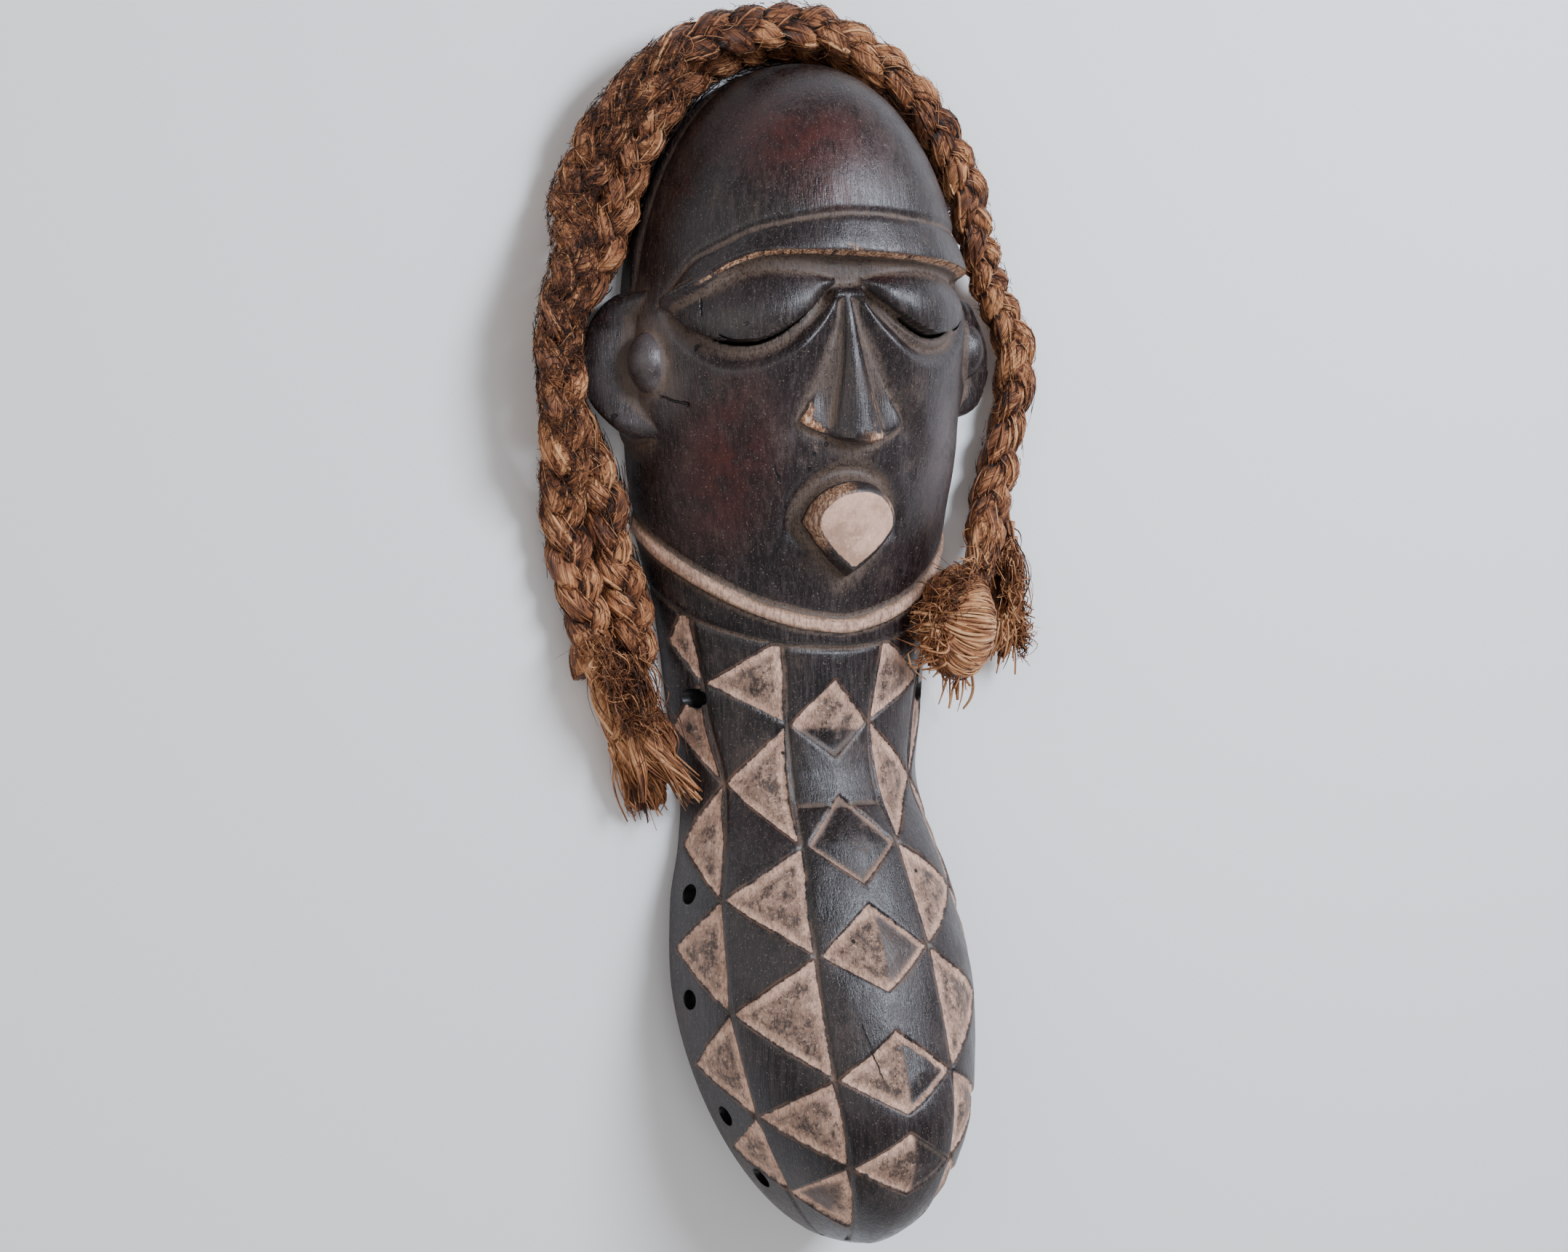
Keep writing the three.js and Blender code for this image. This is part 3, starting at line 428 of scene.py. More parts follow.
def curls(bundle, line, count, rng, reach, length, tones, where=None, wound=0.3, stand=2.0):
    """Short curly fibres matted on a plait's skin; where gives how likely each place along it is."""
    _, side, up = carry_frames(line)
    rings = 6
    chance = np.ones(len(line)) if where is None else np.clip(where, 0, None)
    at = rng.choice(len(line), count, p=chance / chance.sum()).astype(float)[:, None]
    step = np.linalg.norm(line[1] - line[0])
    t = np.linspace(0, 1, rings)[None, :]
    long = rng.uniform(*length, (count, 1))
    heading = rng.uniform(0, 2 * np.pi, (count, 1)) + rng.normal(0, wound, (count, 1)) * long * t
    u = at + np.cumsum(np.cos(heading), axis=1) * long / rings / step
    angle = rng.uniform(-0.5, np.pi + 0.5, (count, 1))
    angle = angle + np.cumsum(np.sin(heading), axis=1) * long / rings / reach[0]
    height = rng.uniform(-0.6, 1.0, (count, 1)) + rng.uniform(0, stand, (count, 1)) * t**1.5
    u = np.clip(u, 0, len(line) - 1.001)
    i, f = u.astype(int), (u % 1)[..., None]
    centre = line[i] * (1 - f) + line[i + 1] * f
    lines = (centre + side[i] * ((reach[0] + height) * np.cos(angle))[..., None]
             + up[i] * ((reach[1] + height) * np.sin(angle))[..., None])
    lines[..., 2] = np.maximum(lines[..., 2], FLOOR_SKIM)
    half = rng.uniform(0.16, 0.34, (count, 1)) * (1 - 0.5 * t)
    bundle.ribbons(lines, half, half * 0.6, 3, np.zeros((count, rings)), rng.uniform(*tones, count))


def fill_shaded_gap(bundle, line, count, rng):
    """Dark strays low on the plait's inner side, in the gap by the head: loose fibres, dark as painted
    shade.
    """
    forward, side, _ = carry_frames(line)
    inward = side * np.sign((side * (np.array([0, 120, 0]) - line)).sum(1, keepdims=True))
    at = rng.integers(0, len(line) - 14, count)
    rings = 7
    t = np.linspace(0, 1, rings)[None, :, None]
    long = rng.uniform(8, 26, (count, 1, 1))
    reach = rng.uniform(7, 13.5, (count, 1, 1)) + rng.normal(0, 1.5, (count, 1, 1)) * t
    bend = rng.normal(0, 1, (count, 1, 3)) * np.sin(np.pi * t) * 1.6
    lines = (line[at][:, None, :] + inward[at][:, None, :] * reach
             + forward[at][:, None, :] * long * t + bend)
    lines[..., 2] = rng.uniform(0.6, 9, (count, 1)) + rng.normal(0, 1.5, (count, 1)) * t[..., 0]
    lines[..., 2] = np.maximum(lines[..., 2], FLOOR_SKIM)
    half = rng.uniform(0.2, 0.6, (count, 1)) * (1 - 0.5 * t[..., 0])
    # dark tones and the crease value here are painted shade for the shadowed gap
    bundle.ribbons(lines, half, half * 0.5, 3, np.zeros((count, rings)), rng.uniform(-0.4, 0.25, count), 0.3)


def locks(bundle, starts, ends, radii, rng, bow, ribbons, tones, curl=1.0):
    """Thick tapering locks of raffia from each start to its end, with ribbons along them."""
    for start, end in zip(np.array(starts, float), np.array(ends, float)):
        long = np.linalg.norm(end - start)
        rings = max(8, int(long / 2.2))
        t = np.linspace(0, 1, rings)
        run = t * long
        bend = rng.normal(0, bow, 3) * np.array([1, 0.4, 0.6])
        middle = start + (end - start) * t[:, None] + bend * np.sin(np.pi * t)[:, None]
        middle = middle + np.stack([wander(rng, run, 16, curl), 0 * t, wander(rng, run, 16, curl * 0.6)], 1)
        middle[:, 1] += CHIN_Y
        radius = rng.uniform(*radii) * (0.55 + 0.45 * np.sin(np.pi * (0.15 + 0.75 * t)))
        radius = radius * (1 - 0.45 * smooth(0.7, 1, t))
        middle[:, 2] = np.maximum(middle[:, 2], radius + 0.3)
        side, up = across_frame(middle, np.array([0, 0, 1.0]))
        tone = rng.uniform(*tones)
        bundle.strand(middle, side, up, radius, radius * 0.8, run + rng.uniform(0, 500), rng, tone, (), 14)
        lines, widths, twists = [], [], []
        for _ in range(ribbons):
            angle = rng.uniform(0, 2 * np.pi) + 0.06 * run
            open_end = 1 + 0.9 * smooth(0.6, 1, t) * rng.uniform(0.2, 1.4)
            lines.append(middle + side * (radius * open_end * np.cos(angle))[:, None]
                         + up * (radius * 0.8 * open_end * np.sin(angle))[:, None])
            widths.append(rng.uniform(0.5, 1.2) * (1 - 0.5 * smooth(0.6, 1, t)))
            twists.append(np.arctan2(0.8 * np.cos(angle), -np.sin(angle)))
        lines, widths = np.array(lines), np.array(widths)
        lines[..., 2] = np.maximum(lines[..., 2], 0.6)
        tones_on = rng.uniform(0.4, 1.0, ribbons)
        bundle.ribbons(lines, widths, widths * 0.4, 4, np.array(twists), tones_on)


def loose_strips(bundle, starts, aims, count, rng, lengths, spread,
                 width=(0.3, 0.9), curl=0.3, tones=(0.2, 0.9), rings=10):
    """Flat strips that leave a knot and fall apart."""
    starts, aims = np.array(starts, float), np.array(aims, float)
    mix = rng.random((count, 1))
    start = starts[0] * (1 - mix) + starts[-1] * mix + rng.normal(0, 1, (count, 3)) * np.array(spread) * 0.5
    aim = aims[0] * (1 - mix) + aims[-1] * mix + rng.normal(0, 1, (count, 3)) * np.array(spread)
    direction = aim - start
    direction /= np.linalg.norm(direction, axis=1, keepdims=True)
    long = rng.uniform(*lengths, (count, 1, 1))
    t = np.linspace(0, 1, rings)[None, :, None]
    lines = (start[:, None, :] + direction[:, None, :] * long * t
             + rng.normal(0, 1, (count, 1, 3)) * long * curl * 0.4 * np.sin(np.pi * t)
             + rng.normal(0, 1, (count, 1, 3)) * long * curl * 0.35 * t**2)
    lines[..., 1] += CHIN_Y
    lines[..., 2] = np.maximum(lines[..., 2], 0.6)
    half = rng.uniform(*width, (count, 1)) * (1 - 0.5 * t[..., 0] ** 2)
    twist = rng.uniform(0, 6.28, (count, 1)) + t[..., 0] * rng.normal(0, 1.2, (count, 1))
    bundle.ribbons(lines, half, half * 0.25 + 0.05, 4, twist, rng.uniform(*tones, count))


def wrapped_ball(bundle, centre, radii, pole, count, rng, tones):
    """A ball of raffia strips that run over it from one pole to the other."""
    centre = np.array(centre, float) + np.array([0, CHIN_Y, 0])
    pole = np.array(pole, float) / np.linalg.norm(pole)
    first = np.cross(pole, [0, 0, 1.0])
    first /= np.linalg.norm(first)
    second = np.cross(first, pole)
    rings = 18
    t = np.linspace(0.04, 0.96, rings)[None, :]
    latitude = np.pi * (t + rng.normal(0, 0.02, (count, 1)))
    turn = rng.uniform(0, 2 * np.pi, (count, 1)) + rng.normal(0, 0.25, (count, 1)) * t + 0.5 * (t - 0.5)
    reach = 1 + rng.normal(0, 0.03, (count, 1)) + 0.02 * np.sin(t * rng.uniform(6, 18, (count, 1)))
    round_pole = np.cos(turn)[..., None] * first + np.sin(turn)[..., None] * second
    out = np.sin(latitude)[..., None] * round_pole - np.cos(latitude)[..., None] * pole
    lines = centre + out * np.array(radii) * reach[..., None]
    half = rng.uniform(0.4, 1.25, (count, 1)) * (0.35 + 0.65 * np.sin(np.pi * t))
    # each strip lies flat on the ball
    side, up = fibre_frames(lines)
    twist = np.arctan2(-(out * side).sum(2), (out * up).sum(2))
    bundle.ribbons(lines, half, half * 0.2 + 0.15, 4, twist, rng.uniform(*tones, count))
    # the matted core, dark, with a little painted shade
    sides, length = 40, 20
    angle = 2 * np.pi * np.arange(sides) / sides
    latitude = np.linspace(0.02, np.pi - 0.02, length)[:, None]
    round_pole = np.cos(angle)[None, :, None] * first + np.sin(angle)[None, :, None] * second
    skin = np.sin(latitude)[..., None] * round_pole - np.cos(latitude)[..., None] * pole
    bundle.add((centre + skin * np.array(radii) * 0.96)[None], 0.05, (angle * radii[0])[None, None, :],
               (latitude * radii[1])[None], 0.15)


# The hull of the mask

CROWN, TIP = 292.0, -306.0
# each end of the hull is a quarter superellipse: where it starts, and its power
CROWN_PLAN, CROWN_RISE = (150, 2.0), (185, 2.6)
TIP_PLAN, TIP_RISE = (-172, 1.75), (-225, 2.05)
WALL, END_WALL = 9.0, 11.0
KEEL_WALL, BROW_WALL = 3.0, 11.0      # further thickness over the top and behind the brow
BEARD_LIFT, LIFT_START = 40.0, -70.0
HALF_WIDTHS = [
    (150, 93), (98, 93), (60, 89), (30, 82), (0, 77), (-45, 72), (-80, 67), (-105, 70), (-135, 77),
    (-172, 80),
]
DEPTHS = [
    (185, 90), (142, 85), (98, 75), (60, 66), (30, 57), (0, 50), (-45, 48), (-80, 53), (-105, 66),
    (-135, 75), (-172, 85), (-210, 91), (-240, 94),
]
FULLNESS = [(185, 2.1), (98, 1.9), (60, 1.7), (0, 1.7), (-80, 1.8), (-135, 2.0)]


def rounded_end(y, shape, end):
    centre, power = shape
    t = np.clip((y - centre) / (end - centre), 0, 1)
    return (1 - t**power) ** (1 / power)


def plan_ends(y, shorter=0.0):
    """How the rounded ends narrow the hull, the whole made shorter at both ends by the given length."""
    return rounded_end(y, CROWN_PLAN, CROWN - shorter) * rounded_end(y, TIP_PLAN, TIP + shorter)


def rise_ends(y, shorter=0.0):
    """How the rounded ends lower the hull."""
    return rounded_end(y, CROWN_RISE, CROWN - shorter) * rounded_end(y, TIP_RISE, TIP + shorter)


def half_width(y):
    return along(HALF_WIDTHS, y) * plan_ends(y)


def depth(y):
    return along(DEPTHS, y) * rise_ends(y)


def rim_lift(y):
    down = np.maximum(0, LIFT_START - y) / (LIFT_START - TIP)
    return BEARD_LIFT * (0.59 * down + 0.41 * down**2)


def lay_sections(y, a, h, columns):
    """Cross-sections with points evenly spaced by girth, and each section's half girth."""
    steps = np.linspace(0, np.pi / 2, 160)
    w = np.linspace(-1, 1, columns + 1)
    grid = np.zeros((len(y), columns + 1, 3))
    girth = np.zeros(len(y))
    power = 2 / along(FULLNESS, y)
    for i in range(len(y)):
        x = a[i] * np.sin(steps) ** power[i]
        z = h[i] * np.cos(steps) ** power[i]
        z[-1] = 0
        run = np.r_[0, np.cumsum(np.hypot(np.diff(x), np.diff(z)))]
        girth[i] = run[-1]
        want = np.abs(w) * run[-1]
        grid[i, :, 0] = np.sign(w) * np.interp(want, run, x)
        grid[i, :, 2] = np.interp(want, run, z)
    grid[:, :, 1] = y[:, None]
    grid[:, :, 2] += rim_lift(y)[:, None]
    return grid, girth


def row_places(rows, top, bottom):
    t = np.linspace(0, 1, rows + 1)
    return top + (bottom - top) * (t - 0.6 * np.sin(2 * np.pi * t) / (2 * np.pi))


# The carving

BROW = dict(groove=203, edge=182.8, fall=0.0025, end=112, drop=0.0088, proud=2.8, socket=-7)
EYE = dict(corner=166.8, tilt=0.03, top=7.5, bulge=9.5, root=-7)
# the two eyes are not quite alike: left value, right value
EYE_LOW, EYE_INNER, EYE_OUTER = (60, 48), (47, 46), (49, 52)
EYE_SLIT, EYE_LOWER_LID, EYE_CHEEK = (24, 20.3), (29, 29), (34, 34)
NOSE = dict(lean=-7, root=167, base=93, root_half=3, base_half=36, root_rise=-11, tip=11, valley=-12,
            flare=0.0105)
MOUTH = dict(middle=54.5, up=21, down=27.5, half=25.5, rise=10, moat=3.5)
MOUTH_FACE = dict(up=15.5, down=20, half=18.5)      # the flat front of the mouth, inside its bevel
CHIN = dict(line=6, sweep=0.0265, band=7.2, lower=-8, lower_sweep=0.003)
EAR_MIDDLE, EAR_HALF, EAR_REACH, EAR_NUB_Y = (134, 145), (37, 32.5), (26.5, 25), (134.5, 147)
NUB_AT, NUB_RISE = 27, 13
SIDE_BAND = 12

KEEL_COLUMN, OUTER_COLUMN, PATTERN_EDGE = 0.25, 0.63, 0.91
ROWS = [-3, -46, -105, -156, -213, -255, -290]
WAIST_LINE = -86
PATTERN_SHIFT = -4.0
SUNK = 1.3


def brow_lines(s):
    """The brow's groove and lower edge, level on one side and dropping to the temple on the other."""
    groove = BROW["groove"] - np.where(s < 0, BROW["fall"] * s * s, 0)
    groove = groove - 0.02 * np.maximum(0, -s - 85) ** 2
    edge = BROW["edge"] - BROW["drop"] * np.clip(-s - 45, 0, 37.6) ** 2
    edge = edge - 0.42 * np.maximum(0, -s - 82.6)
    return groove, edge


def brow_rise(s, y):
    groove, edge = brow_lines(s)
    soft = 0.9 + 2.2 * smooth(45, 85, -s)
    reach = 1 - smooth(BROW["end"] - 14, BROW["end"] + 2, np.abs(s))
    ramp = BROW["proud"] * smooth(edge - soft, edge + soft, y) * (1 - smooth(edge + 1, groove, y))
    return reach * (ramp - 1.4 * bump(y - groove, 2.4))


def by_side(pair, s):
    return np.where(s < 0, pair[0], pair[1])


def eye_lines(s):
    """The eye's outline at a girth: how open it is, and the lengths of its lines."""
    a = np.abs(s)
    low = by_side(EYE_LOW, s)
    near = a < low
    v = (a - low) / np.where(near, by_side(EYE_INNER, s), by_side(EYE_OUTER, s))
    lens = np.maximum(0, 1 - v * v)
    corner = EYE["corner"] + EYE["tilt"] * s
    top = corner + EYE["top"] * lens**0.6
    slit = corner - by_side(EYE_SLIT, s) * lens ** np.where(near, 1.4, 0.9)
    lower = corner - by_side(EYE_LOWER_LID, s) * lens
    cheek = corner - 1 - by_side(EYE_CHEEK, s) * lens**0.85
    return lens, top, slit, lower, cheek


def eye_rise(s, y):
    lens, top, slit, lower, cheek = eye_lines(s)
    brow = brow_lines(s)[1]
    soft = 1 + 1.5 * smooth(45, 85, -s)
    reach = 1 - smooth(BROW["end"] - 10, BROW["end"] + 6, np.abs(s))
    socket = BROW["socket"] + EYE["root"] * bump(s + 6, 24)
    rise = socket * smooth(brow + 1.5 * soft, brow - 2.5 * soft, y) * smooth(cheek - 4, lower + 4, y)
    swell = np.cos(np.pi / 2 * np.clip((y - slit - 4) / np.maximum(top - slit - 1, 2), 0, 1)) ** 0.8
    lid = EYE["bulge"] * lens**0.45 * smooth(slit - 0.9, slit + 0.9, y) * swell
    rim = np.where(y < slit, 2.4 * lens**0.5 * bump(y - (slit + lower) / 2 + 1, 2.8), 0)
    rise = rise + np.where(lens > 0, lid + rim - 1.2 * lens**0.5 * bump(y - lower, 1.5), 0)
    return np.where((y > brow + 1.5 * soft) | (y < cheek - 4), 0, rise * reach)


def nose_shape(s, y):
    t = np.clip((NOSE["root"] - y) / (NOSE["root"] - NOSE["base"]), 0, 1)
    a = np.abs(s - NOSE["lean"] * (1 - t))
    half = NOSE["root_half"] + (NOSE["base_half"] - NOSE["root_half"]) * t**1.6
    return a, t, half, NOSE["valley"] * (1 - 0.8 * t)


def valley_rise(s, y):
    a, _, half, level = nose_shape(s, y)
    on = smooth(NOSE["base"] - 22, NOSE["base"] + 6, y) * smooth(NOSE["root"] + 4, NOSE["root"] - 8, y)
    return level * on * (1 - smooth(half - 2, half + 20, a))


def nose_rise(s, y):
    a, t, half, level = nose_shape(s, y)
    bottom = NOSE["base"] + NOSE["flare"] * a * a
    crest = NOSE["root_rise"] + (NOSE["tip"] - NOSE["root_rise"]) * t**0.9
    ridge = 1.8 + 8.2 * t**1.4
    out = np.clip((a - ridge) / (half - ridge), 0, 1)
    flank = 0.4 * (1 - out) + 0.34 * (1 - smooth(0, 0.3, out))
    slope = np.where(a < ridge, 1 - 0.26 * (a / ridge) ** 2, flank)
    wing = 3.2 * bump(a - 26, 6.5) * smooth(NOSE["base"] + 32, NOSE["base"] + 10, y)
    under = smooth(bottom + 2.5, bottom - 3, y)
    rise = ((level + (crest - level) * slope + wing) * (1 - under) - 5 * under
            - 4 * smooth(NOSE["root"] - 2, NOSE["root"] + 4, y))
    return np.where((y > NOSE["root"] + 4) | (y < bottom - 3) | (a > half), -100, rise)


def mouth_distance(s, y, shape):
    v, a = y - MOUTH["middle"], np.abs(s)
    up, down, half = shape["up"], shape["down"], shape["half"]
    above = np.hypot(a / half, v / up) * up - up
    below = ((a / half) ** 1.2 + (np.maximum(0, -v) / down) ** 1.2) ** (1 / 1.2) - 1
    return np.where(v >= 0, above, below * (up - 0.18 * up * smooth(0, -8, v)))


def mouth_rise(s, y):
    out, face = mouth_distance(s, y, MOUTH), mouth_distance(s, y, MOUTH_FACE)
    bevel = np.where(face <= 0, 1, np.clip(-out / np.maximum(face - out, 1e-6), 0, 1))
    moat = MOUTH["moat"] * bump(out - 3.5, 4) * (out > -2)
    moat = moat * smooth(MOUTH["middle"] - 18, MOUTH["middle"] - 2, y)
    return MOUTH["rise"] * np.sin(np.pi / 2 * bevel) ** 0.8 - moat


def chin_lines(s):
    return CHIN["line"] + CHIN["sweep"] * np.abs(s) ** 1.6, CHIN["lower"] + CHIN["lower_sweep"] * s * s


def chin_rise(s, y):
    line, lower = chin_lines(s)
    edge = line - CHIN["band"]
    crease = -1.2 * bump(y - line, 2)
    white = 2.4 * smooth(line + 2, line - 2, y) * smooth(edge - 0.8, edge + 0.8, y)
    step = 1.1 * smooth(edge + 1, edge - 1, y) * smooth(lower - 0.8, lower + 0.8, y)
    return crease + white + step - 1.1 * bump(y - lower, 1.5)


def ear_rise(rim_distance, y, s):
    middle, half = by_side(EAR_MIDDLE, s), by_side(EAR_HALF, s)
    t = (y - middle) / half
    dome = np.maximum(0, 1 - t * t)
    crest = 8 + 7 * smooth(-0.4, -1, t) + 4 * smooth(0.6, 1, t)
    g = rim_distance - crest
    profile = np.where(g < 0, 1 - 0.8 * smooth(0, -9, g), 1 - smooth(-2, 17, g))
    flange = by_side(EAR_REACH, s) * dome**0.55 * profile
    nub_out = np.hypot((rim_distance - NUB_AT) / 10, (y - by_side(EAR_NUB_Y, s)) / 16)
    nub = NUB_RISE * np.sqrt(np.maximum(0, 1 - nub_out**2))
    base = 5 * bump(rim_distance - 22, 12) * dome
    return np.where((dome > 0) & (rim_distance < 60), np.maximum(np.maximum(flange, nub), base), 0)


def side_band_rise(rim_distance, y):
    on = smooth(160, 176, y) * (1 - smooth(268, 284, y))
    step = 1.5 * (1 - smooth(SIDE_BAND - 0.8, SIDE_BAND + 0.8, rim_distance))
    return on * (step - 1.0 * bump(rim_distance - SIDE_BAND - 1.5, 1.6))


# The beard's pattern

def outer_column(y):
    return OUTER_COLUMN + 0.13 * smooth(-79, 5, y)


def keel_column(y):
    return KEEL_COLUMN + 0.05 * smooth(-46, 0, y)


def inside(u, v, corners):
    """How far a place lies inside a convex outline; negative outside."""
    edges = list(zip(corners, corners[1:] + corners[:1]))
    turn = math.copysign(1, sum(x0 * y1 - x1 * y0 for (x0, y0), (x1, y1) in edges))
    least = np.full(u.shape, np.inf)
    for (x0, y0), (x1, y1) in edges:
        length = math.hypot(x1 - x0, y1 - y0) or 1
        away = turn * ((x1 - x0) * (v - y0) - (y1 - y0) * (u - x0)) / length
        least = np.minimum(least, away)
    return least


def white_fields(girth):
    """The carved triangles and kites as corners: girth out from the keel, and length."""
    def inner(y):
        return float(keel_column(np.array(float(y)))) * girth(y) + 1.6

    def outer(y):
        return float(outer_column(np.array(float(y)))) * girth(y)

    fields = []
    for k in range(len(ROWS) - 1):
        apex = (ROWS[k] + ROWS[k + 1]) / 2
        fields.append([(inner(ROWS[k]), ROWS[k] - 1.5), (outer(apex) - 1.6, apex),
                       (inner(ROWS[k + 1]), ROWS[k + 1] + 1.5)])
        upper = (ROWS[k - 1] + ROWS[k]) / 2 if k else 17
        edge = min(PATTERN_EDGE, 1 - 8 / girth(ROWS[k])) * girth(ROWS[k])
        fields.append([(outer(upper) + 1.6, upper - 1.5), (edge, ROWS[k]), (outer(apex) + 1.6, apex + 1.5)])
        if k:
            pitch = ROWS[k - 1] - ROWS[k + 1]
            half = inner(ROWS[k]) - 4
            fields.append([(0, ROWS[k] + 0.21 * pitch), (half, ROWS[k]),
                           (0, ROWS[k] - 0.17 * pitch), (-half, ROWS[k])])
    return fields


def pattern_depth(s, y, fields):
    """How far a place lies inside a white field of the beard; negative outside."""
    a = np.abs(s)
    best = np.full(s.shape, -30.0)
    for corners in fields:
        best = np.maximum(best, inside(a, y, corners))
    return best


def worn_fields(s, y, fields, rng, u, v):
    """How far the pigment has gone from each field: the keel's kites are worn unlike each other."""
    bare = np.zeros(s.shape)
    kites = [corners for corners in fields if len(corners) == 4]
    right = smooth(0.5, 3.5, s)
    for k, corners in enumerate(kites):
        depth_in = inside(np.abs(s), y, corners)
        lost = (
            smooth(-46.5, -49, y + 1.4 * mottle(rng, u, v, 6, 6)),
            1.0 - 0.45 * smooth(2.2, 0.6, depth_in),
            0.9 * right * smooth(1.0, 2.5, depth_in),
            right * smooth(1.6, 2.8, depth_in),
            right,
        )[min(k, 4)]
        bare = np.where(depth_in > -1.5, lost, bare)
    # the last fields toward the left edge keep only a narrow dirty strip
    tip = smooth(-262, -268, y) * smooth(-28, -36, s) * smooth(1.5, 3, pattern_depth(s, y, fields))
    return np.maximum(bare, 0.8 * tip)


def worn_places(s, y):
    """Where hands have rubbed the carving's edges down to pale wood."""
    a, _, half, _ = nose_shape(s, y)
    base = NOSE["base"]
    wings = smooth(base + 17, base + 8, y - NOSE["flare"] * a * a) * smooth(base - 7, base - 2, y)
    wings = wings * (a < half + 2) * np.maximum(smooth(-15, -21, s), 0.9 * bump(s - 7, 5))
    ridge = 0.55 * bump(s - 7, 3.5) * bump(y - 112, 15)
    lips = 0.5 * smooth(4.5, 3.0, np.abs(mouth_distance(s, y, MOUTH_FACE) - 1.5))
    lips = lips * smooth(-6, -14, s - 0.35 * (y - MOUTH["middle"]))
    lips = np.maximum(lips, 0.5 * bump(s - 17, 5) * bump(y - 66, 6))
    return np.clip(np.maximum(np.maximum(wings, ridge), lips), 0, 1)


def beard_rise(s, y, half, white):
    _, lower = chin_lines(s)
    started = smooth(lower, lower - 3, y) * (y > TIP + 6)
    a = np.abs(s)
    rise = -1.2 * bump(a - keel_column(y) * half, 1.5) - 1.2 * bump(a - outer_column(y) * half, 1.5)
    rise = rise - np.where(a < keel_column(y) * half, 1.1 * bump(y - WAIST_LINE, 1.5), 0)
    sunk = SUNK * smooth(-0.8, 0.8, white) * (1 - 0.75 * smooth(2, 11, white))
    ridge = 1.1 * np.maximum(0, 1 - a / (keel_column(y) * half + 1e-6))
    return started * (rise - sunk + ridge)


# The mask's mesh

def blurred(field, reach_rows, reach_columns):
    out = field
    for axis, reach in ((0, reach_rows), (1, reach_columns)):
        n = max(1, int(reach * 2.5))
        kernel = np.exp(-0.5 * (np.arange(-n, n + 1) / reach) ** 2)
        kernel /= kernel.sum()
        pad = [(n, n) if k == axis else (0, 0) for k in range(2)]
        wide = np.pad(out, pad, mode="edge")
        length = field.shape[axis]
        out = sum(kernel[k] * np.take(wide, range(k, k + length), axis) for k in range(2 * n + 1))
    return out


def carve_outside(rows, columns):
    """The outer skin as a grid of points, and the values that its finish reads."""
    y = row_places(rows, CROWN, TIP)
    grid, girth = lay_sections(y, half_width(y), depth(y), columns)
    w = np.linspace(-1, 1, columns + 1)[None, :]
    half = girth[:, None] + 0 * w
    s = w * half
    yy = y[:, None] + 0 * w
    rim_distance = half - np.abs(s)
    rng = np.random.default_rng(3)

    # a hand-cut line wavers a little
    waver = 0.55 * mottle(rng, s, yy, 17, 17)
    sway = 0.55 * mottle(rng, s, yy, 23, 19)
    girth_of = {}

    def girth_at(place):
        key = round(float(place), 2)
        if key not in girth_of:
            girth_of[key] = float(np.interp(-place, -y, girth))
        return girth_of[key]

    fields = white_fields(girth_at)
    ws, wy = s + sway - PATTERN_SHIFT * smooth(-5, -50, yy), yy + waver
    white = pattern_depth(ws, wy, fields)
    line, lower = chin_lines(s)
    band = np.minimum(line - wy, wy - (line - CHIN["band"]))
    face = -mouth_distance(s, wy, MOUTH_FACE)
    on_beard = wy < lower - 1

    rise = beard_rise(ws, wy, half, white)
    rise = rise + chin_rise(ws, wy) + brow_rise(s, wy) + mouth_rise(s, yy)
    rise = rise + side_band_rise(rim_distance, yy) + ear_rise(rim_distance, yy, s)
    rise = np.maximum(rise + eye_rise(s, yy) + valley_rise(s, yy), nose_rise(s, yy))
    hand = 0.45 * mottle(rng, s, yy, 26, 34)
    hand = hand + 0.16 * mottle(rng, s, yy, 7, 11)
    rise = rise + hand * smooth(0, 6, rim_distance)
    rise[0], rise[-1] = 0, 0

    down = np.gradient(grid, axis=0)
    across = np.gradient(grid, axis=1)
    normal = np.cross(down, across)
    normal /= np.linalg.norm(normal, axis=2, keepdims=True) + 1e-12
    normal[:, 0], normal[:, -1] = (-1, 0, 0), (1, 0, 0)
    skin = grid + normal * rise[..., None]
    floor = rim_lift(y)[:, None] + np.where(np.abs(w) < 1, 0.3, 0)
    skin[..., 2] = np.maximum(skin[..., 2], floor)
    skin[0], skin[-1] = grid[0], grid[-1]

    row_mm = (CROWN - TIP) / rows
    column_mm = 2 * USUAL_HALF_GIRTH / columns
    _, brow_edge = brow_lines(s)
    beard_white = np.where(on_beard, np.minimum(white, lower - 1 - wy), -30)
    values = {
        "white": np.maximum(beard_white, np.maximum(band, face)),
        "bare": np.where(on_beard, worn_fields(ws, wy, fields, rng, s, yy), 0),
        "plain": np.where(on_beard, 0.0, np.where(band > face, 0.55, 1.0)),
        "brow": np.clip(yy - brow_edge, -30, 30),
        "worn": worn_places(s, yy),
        "edge": rise - blurred(rise, 1.6 / row_mm, 1.6 / column_mm),
        "hollow": rise - blurred(rise, 6 / row_mm, 6 / column_mm),
        "girth": s,
        "length": yy,
    }
    return skin, values


